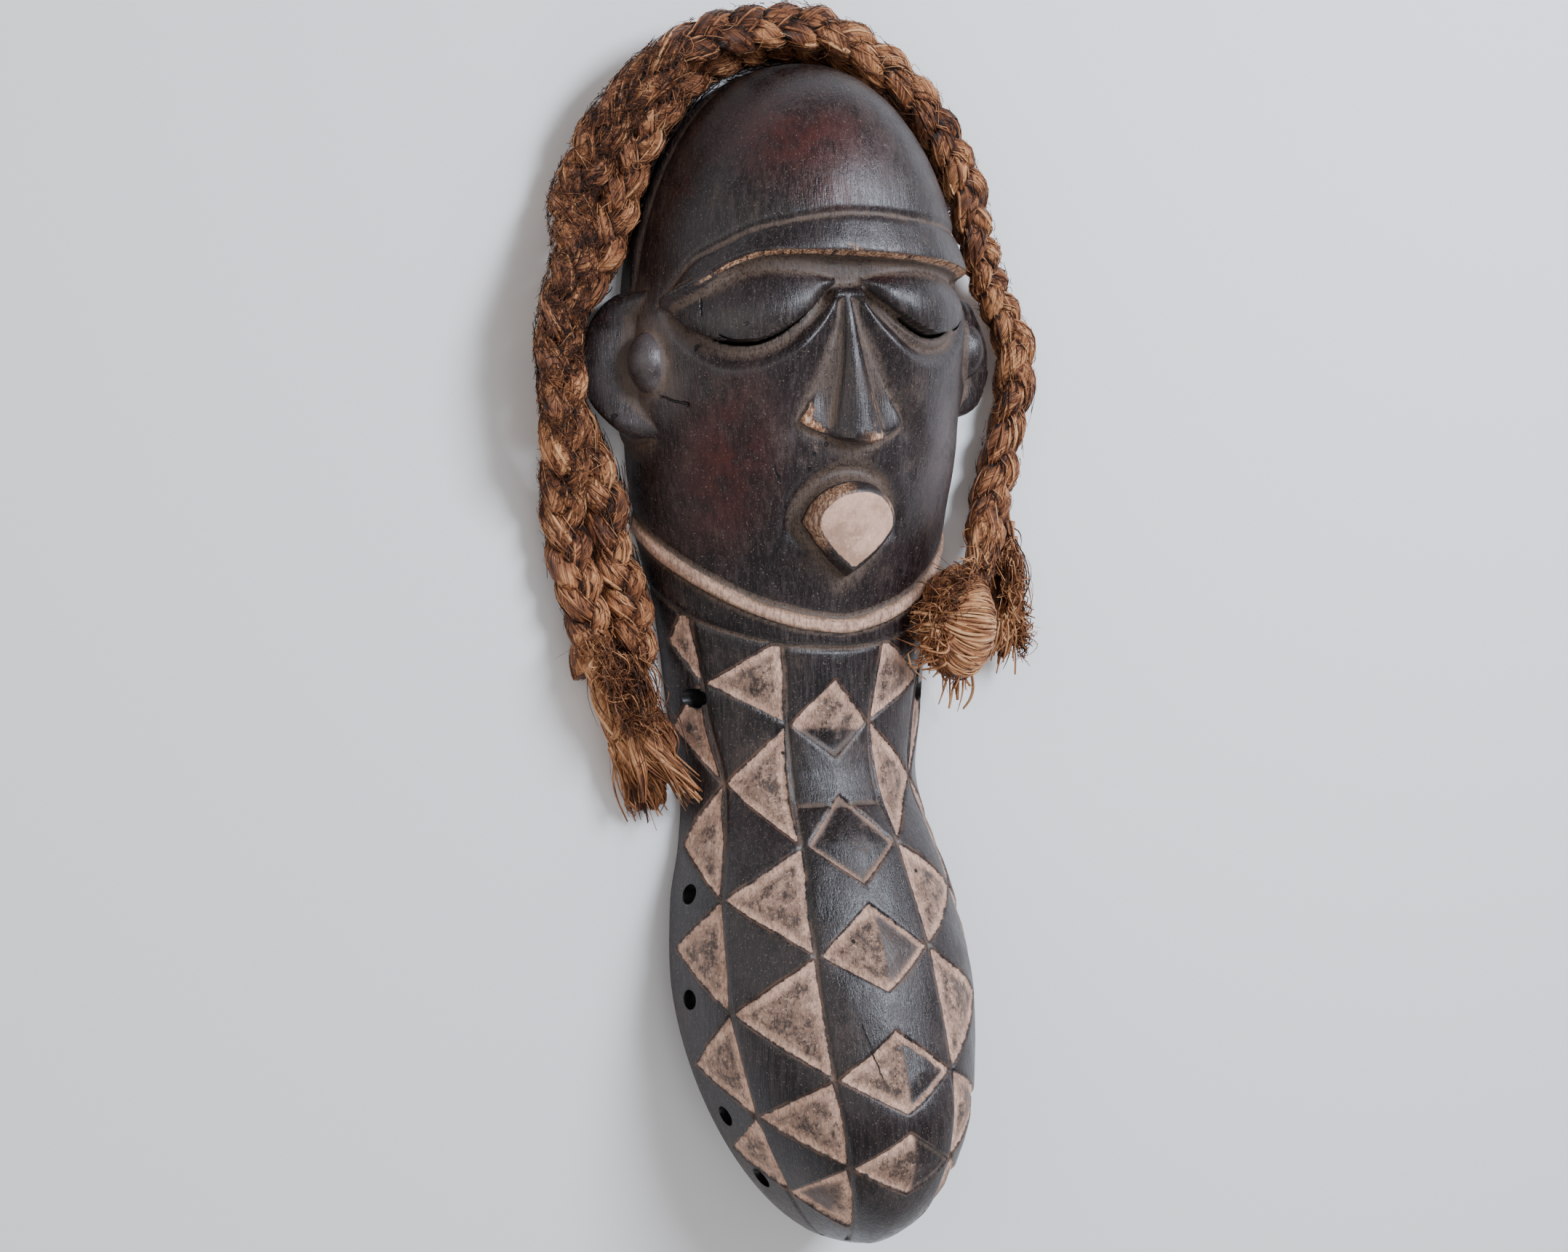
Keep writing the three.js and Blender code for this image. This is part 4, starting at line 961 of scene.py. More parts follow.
def hollow_inside(rows, columns):
    y = row_places(rows, CROWN - END_WALL, TIP + END_WALL)
    stretched = CROWN + (y - (CROWN - END_WALL)) * (CROWN - TIP) / (CROWN - TIP - 2 * END_WALL)
    a = half_width(stretched) - WALL * plan_ends(y, END_WALL)
    h = depth(stretched) - (WALL + KEEL_WALL) * rise_ends(y, END_WALL)
    h = h - BROW_WALL * bump(y - 160, 38)
    grid, girth = lay_sections(y, np.maximum(a, 0), np.maximum(h, 0), columns)
    # short gouge strokes across the hollow
    rng = np.random.default_rng(5)
    s = np.linspace(-1, 1, columns + 1)[None, :] * girth[:, None]
    gouge = 0.7 * mottle(rng, s, grid[..., 1], 9, 16)
    rim_distance = girth[:, None] - np.abs(s)
    down, across = np.gradient(grid, axis=0), np.gradient(grid, axis=1)
    normal = np.cross(down, across)
    normal /= np.linalg.norm(normal, axis=2, keepdims=True) + 1e-12
    skin = grid + normal * (gouge * smooth(0, 8, rim_distance))[..., None]
    skin[0], skin[-1] = grid[0], grid[-1]
    return skin


def grid_faces(rows, columns, offset, flipped):
    i = np.arange(rows)[:, None] * (columns + 1)
    j = np.arange(columns)[None, :]
    a, b, c, d = i + j, i + columns + 1 + j, i + columns + 2 + j, i + 1 + j
    order = (a, d, c, b) if flipped else (a, b, c, d)
    return np.stack([x.ravel() for x in order], 1) + offset


def strip_faces(first, second, flipped):
    a, b, c, d = first[:-1], first[1:], second[1:], second[:-1]
    order = (a, d, c, b) if flipped else (a, b, c, d)
    return np.stack(order, 1)


MASK_ROWS, OUTER_COLUMNS, INNER_COLUMNS = 640, 280, 56
MASK_TRIANGLES = 185000
USUAL_HALF_GIRTH = 115


def carve_mask():
    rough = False
    rows = MASK_ROWS // 2 if rough else MASK_ROWS
    columns = OUTER_COLUMNS // 2 if rough else OUTER_COLUMNS
    outer, values = carve_outside(rows, columns)
    inner = hollow_inside(rows, INNER_COLUMNS)
    points = np.vstack([outer.reshape(-1, 3), inner.reshape(-1, 3)])
    points[:, 1] += CHIN_Y
    start = outer.shape[0] * outer.shape[1]
    first = np.arange(rows + 1) * (columns + 1)
    second = start + np.arange(rows + 1) * (INNER_COLUMNS + 1)
    faces = np.vstack([
        grid_faces(rows, columns, 0, False),
        grid_faces(rows, INNER_COLUMNS, start, True),
        strip_faces(first, second, True),
        strip_faces(first + columns, second + INNER_COLUMNS, False),
    ])
    inner_count = len(points) - start
    inside_value = {"white": -30.0, "brow": 30.0}
    values = {key: np.r_[value.ravel(), np.full(inner_count, inside_value.get(key, 0.0))]
              for key, value in values.items()}
    values["length"][start:] = inner[..., 1].ravel()
    values["bored"] = np.zeros(len(points))
    values["inner_side"] = np.r_[np.zeros(start), np.ones(inner_count)]
    piece = make_piece("mask_carved", points, [faces], values)
    piece.data.validate()
    bpy.context.view_layer.objects.active = piece
    bm = bmesh.new()
    bm.from_mesh(piece.data)
    bmesh.ops.remove_doubles(bm, verts=bm.verts, dist=1e-6)
    bmesh.ops.dissolve_degenerate(bm, edges=bm.edges, dist=1e-7)
    bm.to_mesh(piece.data)
    bm.free()
    triangles = sum(len(p.vertices) - 2 for p in piece.data.polygons)
    if triangles > MASK_TRIANGLES:
        thin = piece.modifiers.new("fewer_facets", "DECIMATE")
        thin.ratio = MASK_TRIANGLES / triangles
        bpy.ops.object.modifier_apply(modifier=thin.name)
    bore_holes(piece)
    return piece


LASHING_HOLE = 10.0
LASHING_RISE = 17.0
LASHING_PLACES = [-32, -129, -180, -237, -268]
CUTTER_SIDES, CUTTER_LENGTH, CUTTER_INSET = 20, 60, 8
SLIT_START, SLIT_END = 24, 82             # girth from the middle of the face
SLIT_FLOOR, SLIT_TOP = 15, 105            # the cutter's lower and upper faces
HEAD_REACH, HEAD_RADIUS = 86, 89.5        # how the girth bends round the head at the eyes


def bore_holes(piece):
    """Lashing holes through the side walls, and a thin curved slit under each upper lid."""
    cutters = []
    for y in LASHING_PLACES:
        for side in (-1, 1):
            bpy.ops.object.select_all(action="DESELECT")
            reach = float(half_width(np.array([float(y)]))[0])
            lift = float(rim_lift(np.array([float(y)]))[0])
            bpy.ops.mesh.primitive_cylinder_add(
                vertices=CUTTER_SIDES, radius=LASHING_HOLE / 2 * MM, depth=CUTTER_LENGTH * MM,
                rotation=(0, math.pi / 2, 0),
                location=(side * (reach - CUTTER_INSET) * MM, (y + CHIN_Y) * MM, (lift + LASHING_RISE) * MM))
            cutters.append(bpy.context.object)
    for side in (-1, 1):
        cutters.append(slit_cutter(side))
    bpy.ops.object.select_all(action="DESELECT")
    for cutter in cutters:
        cutter.select_set(True)
    bpy.context.view_layer.objects.active = cutters[0]
    bpy.ops.object.join()
    cutter = bpy.context.object
    bpy.ops.object.select_all(action="DESELECT")
    bpy.context.view_layer.objects.active = piece
    cut = piece.modifiers.new("holes", "BOOLEAN")
    cut.operation = "DIFFERENCE"
    cut.object = cutter
    cut.solver = "EXACT"
    bpy.ops.object.modifier_apply(modifier=cut.name)
    bpy.data.objects.remove(cutter, do_unlink=True)
    darken_bores(piece.data)
    piece.data.set_sharp_from_angle(angle=math.radians(52))


def darken_bores(mesh):
    """The corners that the cut made take their neighbours' values, and are painted near black as shade."""
    count = len(mesh.vertices)
    places = np.empty(count * 3, np.float32)
    mesh.vertices.foreach_get("co", places)
    places = places.reshape(-1, 3)
    values = {}
    for layer in mesh.attributes:
        if layer.domain == "POINT" and layer.data_type == "FLOAT":
            values[layer.name] = np.empty(count, np.float32)
            layer.data.foreach_get("value", values[layer.name])
    made = (values["white"] == 0) & (values["brow"] == 0) & (values["length"] == 0)
    old = np.nonzero(~made)[0]
    tree = KDTree(len(old))
    for k, index in enumerate(old):
        tree.insert(places[index], k)
    tree.balance()
    for index in np.nonzero(made)[0]:
        near = old[tree.find(places[index])[1]]
        for value in values.values():
            value[index] = value[near]
        values["bored"][index] = 1
    for key, value in values.items():
        mesh.attributes[key].data.foreach_set("value", value)


def slit_cutter(side):
    t = np.linspace(0, 1, 29)
    girth = side * (SLIT_START + (SLIT_END - SLIT_START) * t)
    x, y = HEAD_REACH * np.sin(girth / HEAD_RADIUS), eye_lines(girth)[2] + CHIN_Y
    upper = np.stack([x, y + 0.3], 1)
    lower = np.stack([x, y - 0.3 - 1.2 * np.sin(np.pi * t) ** 0.7], 1)
    outline = np.vstack([upper, lower[::-1]])
    count = len(outline)
    points = [(px, py, pz) for pz in (SLIT_FLOOR, SLIT_TOP) for px, py in outline]
    mesh = bpy.data.meshes.new("slit_cutter")
    ring = list(range(count))
    faces = [ring[::-1], [k + count for k in ring]]
    faces += [[k, (k + 1) % count, (k + 1) % count + count, k + count] for k in ring]
    mesh.from_pydata([tuple(np.array(p) * MM) for p in points], [], faces)
    bm = bmesh.new()
    bm.from_mesh(mesh)
    bmesh.ops.recalc_face_normals(bm, faces=bm.faces)
    bm.to_mesh(mesh)
    bm.free()
    cutter = bpy.data.objects.new("slit_cutter", mesh)
    bpy.context.collection.objects.link(cutter)
    return cutter


# Material helpers

class Nodes:
    """A short hand for building a material's nodes."""

    def __init__(self, tree):
        self.tree = tree
        self.links = tree.links

    def add(self, kind, **settings):
        node = self.tree.nodes.new(kind)
        for key, value in settings.items():
            setattr(node, key, value)
        return node

    def feed(self, socket, value):
        if isinstance(value, bpy.types.NodeSocket):
            self.links.new(value, socket)
        elif socket.type == "RGBA":
            socket.default_value = (*value, 1.0)
        elif value is not None:
            socket.default_value = value

    def maths(self, operation, a, b=None, clamp=False):
        node = self.add("ShaderNodeMath", operation=operation, use_clamp=clamp)
        for socket, value in zip(node.inputs, (a, b)):
            self.feed(socket, value)
        return node.outputs[0]

    def plus(self, a, b):
        return self.maths("ADD", a, b)

    def minus(self, a, b):
        return self.maths("SUBTRACT", a, b)

    def times(self, *values):
        return reduce(lambda a, b: self.maths("MULTIPLY", a, b), values)

    def most(self, *values):
        return reduce(lambda a, b: self.maths("MAXIMUM", a, b), values)

    def swing(self, value, size):
        """A noise about its middle, 0.5, as a value that goes both ways from 0."""
        return self.times(self.minus(value, 0.5), size)

    def ramp(self, value, low, high, to_low=0.0, to_high=1.0):
        node = self.add("ShaderNodeMapRange", interpolation_type="SMOOTHSTEP")
        keys = ("Value", "From Min", "From Max", "To Min", "To Max")
        for key, v in zip(keys, (value, low, high, to_low, to_high)):
            self.feed(node.inputs[key], v)
        return node.outputs[0]

    def blend(self, factor, a, b):
        node = self.add("ShaderNodeMix", data_type="RGBA")
        self.feed(node.inputs["Factor"], factor)
        self.feed(node.inputs[6], a)
        self.feed(node.inputs[7], b)
        return node.outputs[2]

    def noise(self, vector, scale, detail, rough):
        node = self.add("ShaderNodeTexNoise")
        self.feed(node.inputs["Vector"], vector)
        node.inputs["Scale"].default_value = scale
        node.inputs["Detail"].default_value = detail
        node.inputs["Roughness"].default_value = rough
        return node.outputs["Fac"]

    def stretched(self, vector, scale):
        node = self.add("ShaderNodeMapping")
        self.feed(node.inputs["Vector"], vector)
        node.inputs["Scale"].default_value = scale
        return node.outputs[0]

    def attribute(self, name):
        return self.add("ShaderNodeAttribute", attribute_name=name).outputs["Fac"]

    def patch(self, flat, centre, size, hardness=0.0):
        """1 inside an oval on the laid-out skin, fading to 0 at its edge."""
        away = self.add("ShaderNodeVectorMath", operation="SUBTRACT")
        self.feed(away.inputs[0], flat)
        away.inputs[1].default_value = (*centre, 0)
        scaled = self.add("ShaderNodeVectorMath", operation="MULTIPLY")
        self.feed(scaled.inputs[0], away.outputs[0])
        scaled.inputs[1].default_value = (1 / size[0], 1 / size[1], 0)
        length = self.add("ShaderNodeVectorMath", operation="LENGTH")
        self.feed(length.inputs[0], scaled.outputs[0])
        return self.ramp(length.outputs["Value"], 1.0, hardness)

    def crack(self, flat, start, end, width):
        """1 along a wavering line between two places of the laid-out skin."""
        (x0, y0), (x1, y1) = start, end
        long = math.hypot(x1 - x0, y1 - y0)
        c, s = (x1 - x0) / long, (y1 - y0) / long
        waver = self.add("ShaderNodeVectorMath", operation="ADD")
        self.feed(waver.inputs[0], flat)
        wave = self.add("ShaderNodeTexNoise")
        self.feed(wave.inputs["Vector"], flat)
        wave.inputs["Scale"].default_value = 0.22
        wave.inputs["Detail"].default_value = 3.0
        self.feed(waver.inputs[1], self.scaled(wave.outputs["Color"], 3.0))
        away = self.add("ShaderNodeVectorMath", operation="SUBTRACT")
        self.feed(away.inputs[0], waver.outputs[0])
        away.inputs[1].default_value = ((x0 + x1) / 2 + 1.5, (y0 + y1) / 2 + 1.5, 0)
        amounts = []
        for direction in ((c, s, 0), (-s, c, 0)):
            dot = self.add("ShaderNodeVectorMath", operation="DOT_PRODUCT")
            self.feed(dot.inputs[0], away.outputs[0])
            dot.inputs[1].default_value = direction
            amounts.append(self.maths("ABSOLUTE", dot.outputs["Value"]))
        ends = self.ramp(amounts[0], long / 2, long / 2 - 2.5)
        return self.maths("MULTIPLY", ends, self.ramp(amounts[1], width, width * 0.3))

    def scaled(self, vector, amount):
        node = self.add("ShaderNodeVectorMath", operation="SCALE")
        self.feed(node.inputs[0], vector)
        node.inputs["Scale"].default_value = amount
        return node.outputs[0]

    def bump(self, height, distance, strength, normal=None):
        node = self.add("ShaderNodeBump")
        self.feed(node.inputs["Height"], height)
        node.inputs["Distance"].default_value = distance
        node.inputs["Strength"].default_value = strength
        if normal is not None:
            self.feed(node.inputs["Normal"], normal)
        return node.outputs[0]


def new_material(name):
    material = bpy.data.materials.new(name)
    material.use_nodes = True
    tree = material.node_tree
    shader = tree.nodes["Principled BSDF"]
    return material, Nodes(tree), shader


# Finishes

# worm holes: girth and length of the place, and size; cracks: both ends and width
WORM_HOLES = [
    ((-45, 201.5), 1.3), ((-60, 149.5), 1.2), ((-86.5, 140), 1.4), ((-15.5, 91.5), 1.3),
    ((-21.5, 87), 1.0), ((-23.5, 79.5), 1.1), ((-119, 109), 1.2), ((40, 30), 1.0), ((-30, -60), 1.0),
    ((-16, -150), 1.1), ((32, -120), 1.0), ((-58, -205), 1.2), ((10, -228), 1.0),
]
CRACKS = [
    ((-85, 164), (-83, 154), 0.8), ((-104, 118), (-86, 112), 0.9), ((-42, 83), (-37, 73), 0.9),
    ((-20, -188), (-14, -214), 0.5), ((6, -96), (9, -112), 0.5),
]
# patches of the laid-out skin: centre and half size
HANDLED_GREY_PATCHES = [((-108, 134), (28, 46), 0.4), ((72, 96), (34, 60), 0.0)]
RED_PATCHES = [((-26, 240), (66, 38), 0.0), ((-66, 84), (40, 66), 0.0), ((-20, 214), (30, 14), 0.0)]

PATINA, PATINA_THIN = (0.0055, 0.0034, 0.0046), (0.0200, 0.0125, 0.0145)
GRAIN_BROWN, HANDLED_GREY, RED_BROWN = (0.050, 0.034, 0.034), (0.098, 0.078, 0.080), (0.066, 0.0125, 0.0095)
PORE_PALE, PORE_DARK = (0.085, 0.061, 0.058), (0.006, 0.0042, 0.0050)
RUBBED_TAN, RUBBED_PALE = (0.27, 0.110, 0.055), (0.88, 0.55, 0.35)
DUST_BROWN, DUST_PALE, SPECK = (0.085, 0.056, 0.041), (0.205, 0.138, 0.102), (0.30, 0.225, 0.185)
CHALK_DIRTY, CHALK, CHALK_FRESH = (0.50, 0.292, 0.208), (0.84, 0.520, 0.385), (0.97, 0.70, 0.55)
CHALK_THIN, BAND_DIRT, BORDER_DIRT = (0.245, 0.148, 0.105), (0.250, 0.145, 0.085), (0.19, 0.098, 0.056)
RAW_WOOD, RAW_PALE, RAW_STAIN = (0.060, 0.036, 0.024), (0.150, 0.092, 0.058), (0.035, 0.025, 0.020)
MARK_DARK, BORE_PAINTED_SHADE = (0.004, 0.003, 0.003), (0.005, 0.004, 0.004)


class WoodSkin:
    """The skin's own values and the noises that the wood's layers share."""

    def __init__(self, n):
        for key in ("white", "bare", "plain", "edge", "hollow", "brow", "girth", "worn", "inner_side",
                    "bored"):
            setattr(self, key, n.attribute(key))
        flat = n.add("ShaderNodeCombineXYZ")
        n.feed(flat.inputs[0], self.girth)
        n.feed(flat.inputs[1], n.attribute("length"))
        self.flat = flat.outputs[0]
        self.place = n.add("ShaderNodeTexCoord").outputs["Object"]
        self.broad = n.noise(self.place, 15, 5, 0.62)
        self.cloudy = n.noise(self.place, 60, 6, 0.68)
        self.fine = n.noise(self.place, 520, 4, 0.65)
        self.grain = n.noise(n.stretched(self.place, (420, 36, 420)), 1.0, 5, 0.66)
        self.pores = n.noise(n.stretched(self.place, (1300, 150, 1300)), 1.0, 3, 0.65)
        self.scratches = n.noise(n.stretched(self.place, (760, 210, 760)), 1.0, 5, 0.75)


def lay_patina(n, skin):
    """Black-brown patina with lengthwise grain, grey where it was handled and red-brown in patches."""
    dark = n.blend(n.ramp(skin.broad, 0.36, 0.66), PATINA, PATINA_THIN)
    dark = n.blend(n.ramp(skin.grain, 0.46, 0.68, 0, 0.60), dark, GRAIN_BROWN)
    dark = n.blend(n.ramp(skin.pores, 0.52, 0.66, 0, 0.40), dark, PORE_PALE)
    dark = n.blend(n.ramp(skin.pores, 0.44, 0.34, 0, 0.60), dark, PORE_DARK)
    grey = n.most(*(n.patch(skin.flat, *patch) for patch in HANDLED_GREY_PATCHES))
    dark = n.blend(n.times(grey, n.ramp(skin.cloudy, 0.36, 0.60, 0.25, 0.75)), dark, HANDLED_GREY)
    red = n.most(*(n.patch(skin.flat, *patch) for patch in RED_PATCHES))
    red = n.times(red, n.ramp(skin.cloudy, 0.36, 0.56, 0.30, 1.0))
    red = n.most(red, n.ramp(n.noise(skin.place, 24, 5, 0.7), 0.60, 0.74, 0, 0.5))
    return n.blend(n.times(red, n.ramp(skin.grain, 0.3, 0.6, 0.55, 1.0)), dark, RED_BROWN)


def rub_edges(n, skin, wood):
    """Pale wood along the brow's edge and at the worn places."""
    ragged_edge = n.plus(skin.edge, n.swing(n.noise(skin.place, 170, 4, 0.7), 1.6))
    rubbed = n.times(n.ramp(ragged_edge, 0.10, 0.75), skin.worn)
    line = n.maths("ABSOLUTE", n.minus(n.plus(skin.brow, n.swing(skin.cloudy, 1.6)), 0.5))
    line = n.times(n.ramp(line, 1.05, 0.45), n.ramp(skin.girth, -88, -74), n.ramp(skin.girth, 100, 90))
    gaps = n.noise(n.stretched(skin.flat, (0.20, 0.05, 1)), 1.0, 4, 0.7)
    line = n.times(line, n.ramp(gaps, 0.36, 0.50))
    chip = n.times(n.patch(skin.flat, (-12, 184), (9, 4.5)), n.ramp(skin.cloudy, 0.42, 0.56))
    rubbed = n.most(rubbed, line, chip)
    bright = n.ramp(n.noise(n.stretched(skin.place, (900, 260, 900)), 1.0, 3, 0.6), 0.42, 0.62)
    return rubbed, n.blend(rubbed, wood, n.blend(bright, RUBBED_TAN, RUBBED_PALE))


def settle_dust(n, skin, wood):
    """Dust in the cuts and in the wide hollows, with pale specks everywhere."""
    cut_dust = n.ramp(n.minus(n.swing(skin.cloudy, 0.5), skin.edge), 0.06, 0.42)
    pool_dust = n.ramp(n.minus(n.swing(skin.cloudy, 2.6), skin.hollow), 0.35, 2.4, 0, 0.85)
    film = n.ramp(n.noise(skin.place, 34, 6, 0.72), 0.50, 0.74, 0, 0.40)
    dust = n.most(cut_dust, pool_dust, film)
    broken = n.plus(n.times(skin.fine, 0.5), n.times(skin.pores, 0.5))
    dust = n.times(dust, n.ramp(broken, 0.38, 0.56, 0.25, 1.0))
    wood = n.blend(n.times(dust, 0.85), wood, n.blend(skin.cloudy, DUST_BROWN, DUST_PALE))
    specks = n.noise(skin.place, 1150, 2, 0.5)
    return dust, n.blend(n.ramp(specks, 0.64, 0.72, 0, 0.55), wood, SPECK)


def lay_pigment(n, skin, wood):
    """White pigment in the carved fields, the chin's band and the mouth, worn and dirty."""
    ragged = n.minus(n.noise(skin.place, 240, 5, 0.72), 0.5)
    rough_edge = n.times(ragged, n.minus(2.6, n.times(skin.plain, 1.4)))
    painted = n.ramp(n.plus(skin.white, rough_edge), -0.2, 0.5)
    centre = n.times(n.ramp(skin.white, 1.4, 6.0), n.minus(1.0, skin.plain))
    patchy = n.plus(n.times(n.noise(skin.place, 125, 7, 0.78), 0.62), n.times(skin.scratches, 0.38))
    lost = n.ramp(n.plus(patchy, n.times(centre, 0.050)), 0.535, 0.640)
    lost = n.times(lost, n.minus(1.0, n.times(skin.plain, 0.80)))
    lost = n.most(n.times(lost, 0.88), n.times(skin.bare, n.ramp(patchy, 0.36, 0.47, 0.72, 1.0)))
    scratched = n.most(n.ramp(skin.scratches, 0.38, 0.52, 0.50, 1.0), n.times(skin.plain, 0.9))
    paint = n.times(painted, n.minus(1.0, lost), scratched)
    chalk = n.blend(n.ramp(skin.cloudy, 0.34, 0.62), CHALK_DIRTY, CHALK)
    chalk = n.blend(n.times(centre, n.ramp(patchy, 0.40, 0.56, 0.30, 0.90)), chalk, CHALK_THIN)
    chalk = n.blend(n.ramp(skin.fine, 0.56, 0.70, 0, 0.65), chalk, CHALK_FRESH)
    on_band = n.times(n.ramp(skin.plain, 0.9, 0.6), n.ramp(skin.plain, 0.2, 0.5))
    band_dirt = n.times(on_band, n.ramp(skin.white, 2.6, 0.2), n.ramp(skin.cloudy, 0.40, 0.58, 0.25, 1.0))
    chalk = n.blend(band_dirt, chalk, BAND_DIRT)
    surface = n.blend(paint, wood, chalk)
    # the field's own border line: a dark cut with brown dirt in it
    border = n.maths("ABSOLUTE", n.plus(skin.white, 0.9))
    border = n.times(n.ramp(border, 0.8, 0.2, 0, 0.55), n.ramp(skin.plain, 0.5, 0.1))
    return paint, n.blend(n.times(border, n.ramp(skin.cloudy, 0.4, 0.6)), surface, BORDER_DIRT)


def mark_wood(n, skin, surface):
    """Worm holes and short cracks."""
    holes = [n.patch(skin.flat, spot, (size, size), 0.75) for spot, size in WORM_HOLES]
    marks = n.most(*holes, *(n.crack(skin.flat, *ends_and_width) for ends_and_width in CRACKS))
    return marks, n.blend(n.times(marks, 0.95), surface, MARK_DARK)


def bare_inside(n, skin, surface):
    """Raw brown wood in the hollow, and the bores' walls near black as painted shade."""
    raw = n.blend(n.ramp(skin.grain, 0.35, 0.7), RAW_WOOD, RAW_PALE)
    raw = n.blend(n.ramp(skin.broad, 0.42, 0.66, 0, 0.7), raw, RAW_STAIN)
    return n.blend(skin.bored, n.blend(skin.inner_side, surface, raw), BORE_PAINTED_SHADE)


def finish_wood():
    """Dark handled wood with dust in the cuts, rubbed edges and worn pigment on the fields."""
    material, n, shader = new_material("handled_wood")
    skin = WoodSkin(n)
    rubbed, wood = rub_edges(n, skin, lay_patina(n, skin))
    dust, wood = settle_dust(n, skin, wood)
    paint, surface = lay_pigment(n, skin, wood)
    marks, surface = mark_wood(n, skin, surface)
    n.feed(shader.inputs["Base Color"], bare_inside(n, skin, surface))

    rough = n.ramp(n.plus(n.times(skin.grain, 0.6), n.times(skin.cloudy, 0.4)), 0.38, 0.62, 0.23, 0.42)
    rough = n.plus(rough, n.times(n.most(dust, skin.inner_side), 0.34))
    rough = n.maths("ADD", rough, n.times(paint, 0.40), clamp=True)
    n.feed(shader.inputs["Roughness"], rough)
    shader.inputs["Specular IOR Level"].default_value = 0.5

    relief = n.bump(paint, 0.00035, 0.9)
    relief = n.bump(n.times(n.most(marks, n.times(rubbed, 0.5)), -1.0), 0.0012, 1.0, relief)
    relief = n.bump(n.plus(skin.grain, n.times(skin.pores, 0.8)), 0.00050, 0.6, relief)
    relief = n.bump(skin.fine, 0.00016, 0.5, relief)
    n.feed(shader.inputs["Normal"], relief)
    return material


# the raffia's colours from its darkest dirt to its palest fibre, with each one's place on the ramp
RAFFIA_STOPS = [
    (0.06, (0.016, 0.0050, 0.0025)), (0.28, (0.115, 0.035, 0.0140)), (0.48, (0.33, 0.118, 0.046)),
    (0.68, (0.70, 0.310, 0.130)), (0.95, (1.00, 0.60, 0.31)),
]


def finish_raffia():
    """Raffia: each fibre its own brown to gold, streaked along its run, with painted shade in the creases.
    """
    material, n, shader = new_material("raffia")
    place = n.add("ShaderNodeTexCoord").outputs["Object"]
    lengthwise = n.add("ShaderNodeCombineXYZ")
    n.feed(lengthwise.inputs[0], n.attribute("around"))
    n.feed(lengthwise.inputs[1], n.attribute("run"))
    coarse = n.noise(n.stretched(lengthwise.outputs[0], (0.75, 0.05, 1)), 1.0, 3, 0.55)
    fine = n.noise(n.stretched(lengthwise.outputs[0], (2.6, 0.07, 1)), 1.0, 4, 0.70)
    blotch = n.noise(place, 42, 4, 0.62)
    streak = n.plus(n.times(coarse, 0.45), n.times(fine, 0.55))
    mixed = n.plus(n.times(n.attribute("tone"), 0.52), n.swing(streak, 2.3))
    mixed = n.plus(n.plus(mixed, n.swing(blotch, 1.1)), 0.25)
    # painted shade: the crease value darkens the fibres between strands
    mixed = n.maths("SUBTRACT", mixed, n.times(n.attribute("crease"), 0.72), clamp=True)
    ramp = n.add("ShaderNodeValToRGB")
    n.feed(ramp.inputs[0], mixed)
    while len(ramp.color_ramp.elements) < len(RAFFIA_STOPS):
        ramp.color_ramp.elements.new(0.5)
    for element, (position, rgb) in zip(ramp.color_ramp.elements, RAFFIA_STOPS):
        element.position = position
        element.color = (*rgb, 1.0)
    n.feed(shader.inputs["Base Color"], ramp.outputs[0])
    n.feed(shader.inputs["Roughness"], n.ramp(blotch, 0.3, 0.7, 0.40, 0.62))
    shader.inputs["Specular IOR Level"].default_value = 0.4
    n.feed(shader.inputs["Normal"], n.bump(streak, 0.0014, 1.0))
    return material


# Bunches at the plaits' ends

def scatter(rng, count, centre, spread):
    """Places strewn about a centre."""
    return [tuple(c + rng.normal(0, s) for c, s in zip(centre, spread)) for _ in range(count)]


def strew(bundle, rng, rows):
    """Loose strips in several rows: starts, aims, count, lengths, spread and the row's own ways."""
    for starts, aims, count, lengths, spread, ways in rows:
        loose_strips(bundle, starts, aims, count, rng, lengths, spread, **ways)


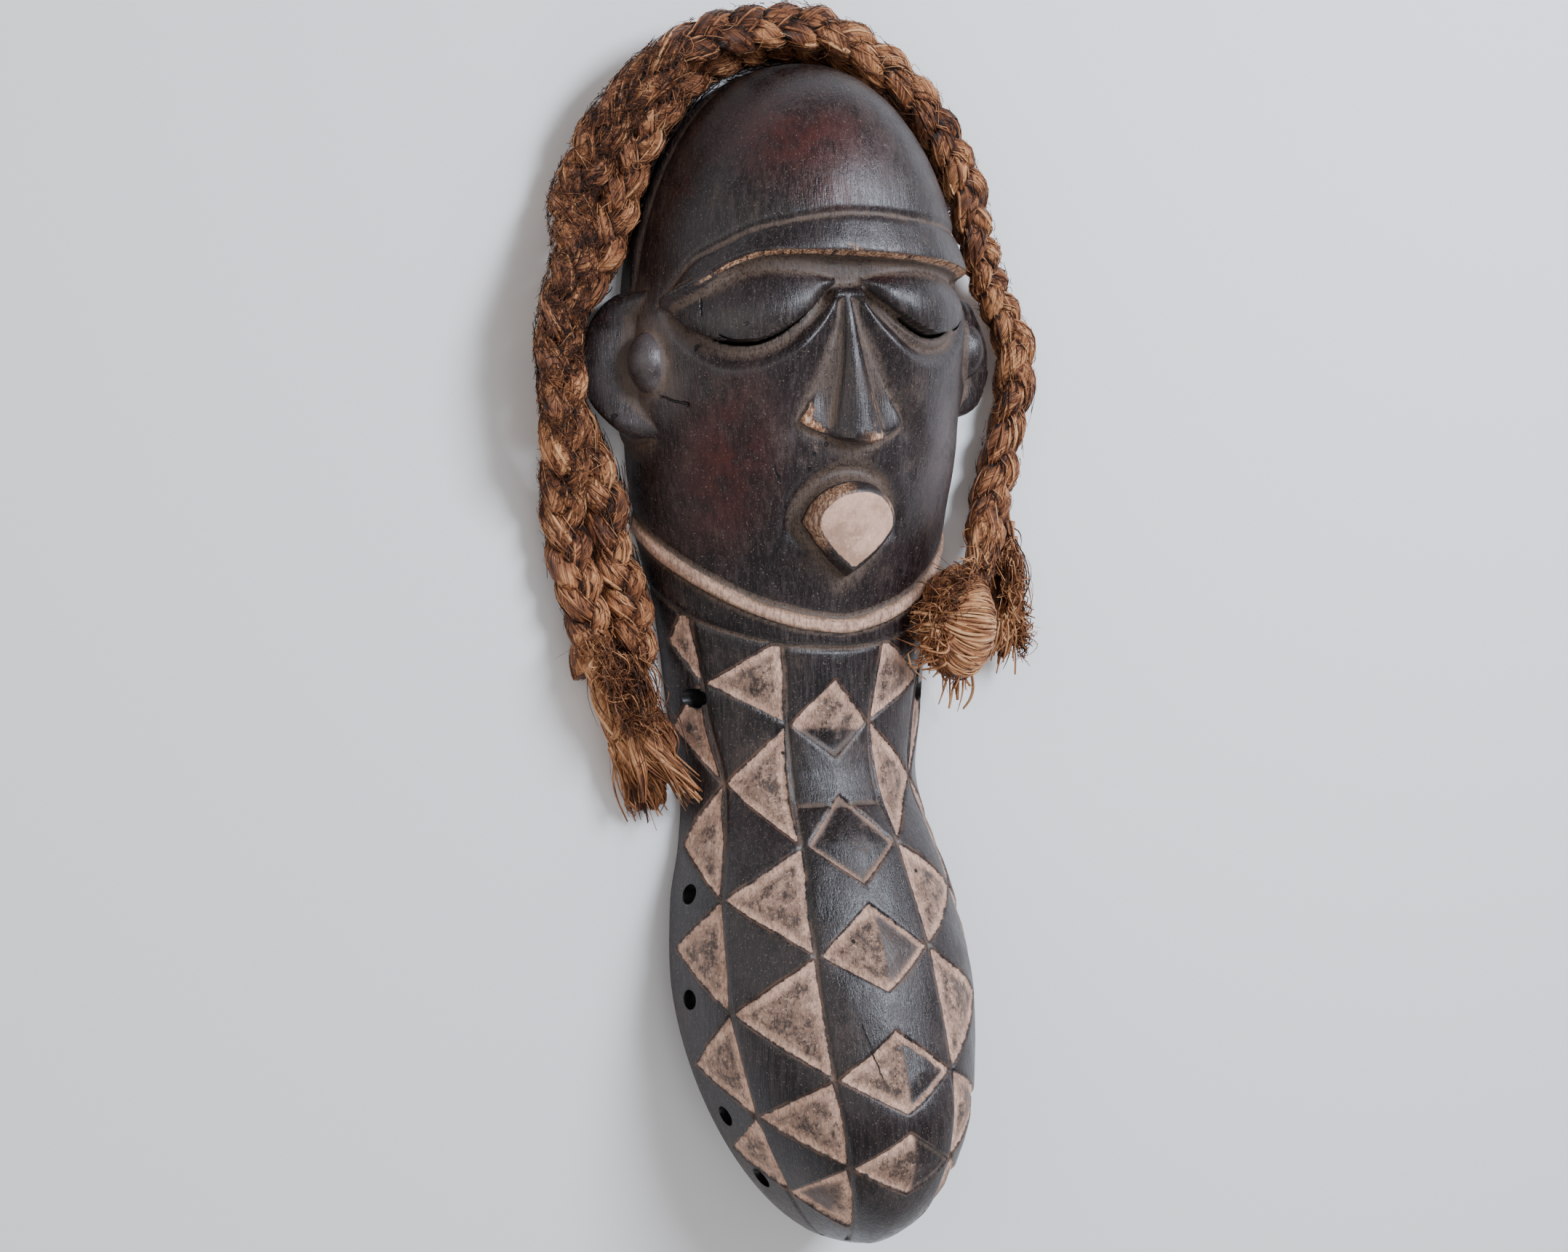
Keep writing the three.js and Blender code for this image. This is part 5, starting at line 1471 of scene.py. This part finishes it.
def tie_left_bunch():
    """Both left ends wrapped together: lumpy locks, matted curls and straight pale ends."""
    rng = np.random.default_rng(31)
    bundle = Bundle()
    # lumps that carry the outer plait on, each slanting over the last
    stations = [(-120, -8, 16), (-117, -22, 16), (-112, -36, 15), (-106, -50, 14), (-99, -62, 12),
                (-94, -73, 10)]
    starts, ends = [], []
    for x, y, z in stations:
        for slant in (-5, 5):
            starts.append((x + slant, y + 11, z + 2 + rng.normal(0, 1)))
            ends.append((x - slant * 0.6 + 5, y - 14, z + rng.normal(0, 1)))
    locks(bundle, starts, ends, (4.6, 6.4), rng, bow=2.5, ribbons=9, tones=(0.25, 0.8), curl=0.4)
    starts = scatter(rng, 12, (-104, -20, 18), (5, 3, 3))
    ends = scatter(rng, 12, (-84, -74, 15), (6, 7, 4))
    locks(bundle, starts, ends, (2.2, 4.2), rng, bow=4, ribbons=9, tones=(0.05, 0.6))
    strew(bundle, rng, [
        # straight pale ends
        ([(-103, -44, 20), (-94, -44, 22)], [(-74, -80, 20), (-64, -78, 18)], 90, (34, 52), (3, 3, 3),
         dict(width=(0.4, 1.3), curl=0.06, tones=(0.45, 1.1))),
        ([(-108, -56, 12), (-94, -56, 12)], [(-94, -90, 8), (-84, -90, 12)], 170, (18, 36), (4, 4, 3),
         dict(curl=0.15, tones=(0.0, 1.0))),
        # dark fibres all through it, and mats of curls on top
        ([(-116, -12, 20), (-96, -14, 24)], [(-98, -76, 18), (-80, -72, 22)], 420, (18, 46), (4, 5, 4),
         dict(width=(0.2, 0.6), tones=(-0.2, 0.9))),
        ([(-122, 0, 24), (-98, -44, 27)], [(-116, -20, 30), (-90, -50, 32)], 420, (5, 13), (6, 9, 4),
         dict(width=(0.2, 0.5), curl=1.1, tones=(-0.2, 0.8), rings=7)),
    ])
    return bundle.piece("left_bunch_frayed")


def tie_right_bunch():
    """The wrapped ball on the outer plait's lower end, with curls on it and strips below."""
    rng = np.random.default_rng(32)
    bundle = Bundle()
    wrapped_ball(bundle, (76, 3.5, 40), (20, 28, 17), (1.0, -0.22, -0.35), 520, rng, tones=(0.35, 1.15))
    # the neck between the plait and the ball
    starts = scatter(rng, 9, (106, 56, 20), (3, 3, 2))
    ends = scatter(rng, 9, (82, 25, 44), (5, 4, 3))
    locks(bundle, starts, ends, (3.4, 5.6), rng, bow=3, ribbons=9, tones=(0.0, 0.50))
    strew(bundle, rng, [
        ([(108, 54, 24), (100, 46, 30)], [(64, 20, 54), (92, 10, 52)], 330, (12, 30), (4, 5, 3),
         dict(width=(0.2, 0.6), tones=(-0.1, 0.9))),
        # mats of curls on the ball's left, over the chin
        ([(80, 30, 52), (56, 6, 52)], [(66, 26, 54), (46, -4, 48)], 400, (6, 16), (4, 7, 3),
         dict(width=(0.2, 0.55), curl=0.9, tones=(-0.2, 0.75), rings=7)),
        ([(60, 6, 52), (62, -14, 46)], [(46, 0, 50), (52, -16, 46)], 110, (8, 16), (3, 5, 2),
         dict(curl=1.0, width=(0.4, 1.1), tones=(0.3, 1.05))),
        ([(66, -10, 42), (84, -20, 34)], [(62, -26, 40), (80, -32, 34)], 60, (8, 16), (4, 3, 3),
         dict(curl=0.4, width=(0.4, 1.1), tones=(0.3, 1.05))),
        # a few pale strips below it
        ([(74, -16, 34), (92, -16, 28)], [(74, -46, 26), (100, -48, 14)], 7, (18, 32), (2, 2, 2),
         dict(curl=0.15, width=(0.8, 1.6), tones=(0.75, 1.1))),
    ])
    return bundle.piece("right_bunch_wrapped")


def fray_right_rear():
    """The short dark matted tuft behind the ball."""
    rng = np.random.default_rng(33)
    bundle = Bundle()
    starts = scatter(rng, 14, (125, 54, 10), (3, 5, 2))
    ends = scatter(rng, 14, (122, -10, 12), (5, 6, 4))
    locks(bundle, starts, ends, (3.0, 5.0), rng, bow=4, ribbons=8, tones=(0.0, 0.45))
    strew(bundle, rng, [
        ([(122, 50, 12), (128, 40, 14)], [(116, -18, 14), (128, -16, 14)], 330, (20, 46), (3, 5, 3),
         dict(width=(0.2, 0.6), tones=(-0.2, 0.8))),
        ([(121, 46, 20), (127, -8, 20)], [(114, 20, 24), (130, -14, 22)], 620, (5, 12), (4, 8, 3),
         dict(width=(0.25, 0.7), curl=0.7, tones=(0.0, 1.0), rings=7)),
        ([(112, 6, 24), (122, 0, 20)], [(110, -20, 20), (124, -20, 14)], 50, (10, 24), (4, 5, 3),
         dict(curl=0.2, width=(0.4, 1.1), tones=(0.4, 1.1))),
    ])
    return bundle.piece("right_rear_bunch_frayed")


# Putting the mask together

place_camera()
light_the_room()
lay_floor()

inner_route, outer_route = plait_routes()
rng = np.random.default_rng(41)
fuzz = Bundle()
inner_plait, inner_line, inner_run = weave_plait("inner_plait_woven", inner_route, 11, fuzz)
curls(fuzz, inner_line, 1300, rng, WITHIN_SKIN, (4, 10), (-0.2, 0.6))
curls(fuzz, inner_line, 130, rng, WITHIN_SKIN, (12, 26), (0.3, 1.0), wound=0.08, stand=3.0)
fill_shaded_gap(fuzz, inner_line, 900, rng)
inner_fuzz = fuzz.piece("inner_plait_strays")
fuzz = Bundle()
outer_plait, outer_line, outer_run = weave_plait("outer_plait_woven", outer_route, 12, fuzz)
place = outer_line[:, 1] - CHIN_Y
left_side = (outer_line[:, 0] < 0) & (place > 70) & (place < 285)
curls(fuzz, outer_line, 3200, rng, ON_SKIN, (4, 11), (-0.5, 0.35), where=0.2 + 2.4 * left_side)
curls(fuzz, outer_line, 150, rng, WITHIN_SKIN, (12, 26), (0.3, 1.0), wound=0.08, stand=3.0)
outer_fuzz = fuzz.piece("outer_plait_strays")
left_bunch = tie_left_bunch()
right_bunch = tie_right_bunch()
right_rear = fray_right_rear()

mask = carve_mask()

wood = finish_wood()
raffia = finish_raffia()
mask.data.materials.append(wood)
for piece in (inner_plait, outer_plait, inner_fuzz, outer_fuzz, left_bunch, right_bunch, right_rear):
    piece.data.materials.append(raffia)

for piece, node in ((mask, "mask"), (inner_plait, "inner_plait"), (outer_plait, "outer_plait"),
                    (left_bunch, "left_bunch"), (right_bunch, "right_bunch"),
                    (right_rear, "right_rear_bunch")):
    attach(piece, "root")
    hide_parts(node)
for piece in (inner_fuzz, outer_fuzz):
    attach(piece, "root")
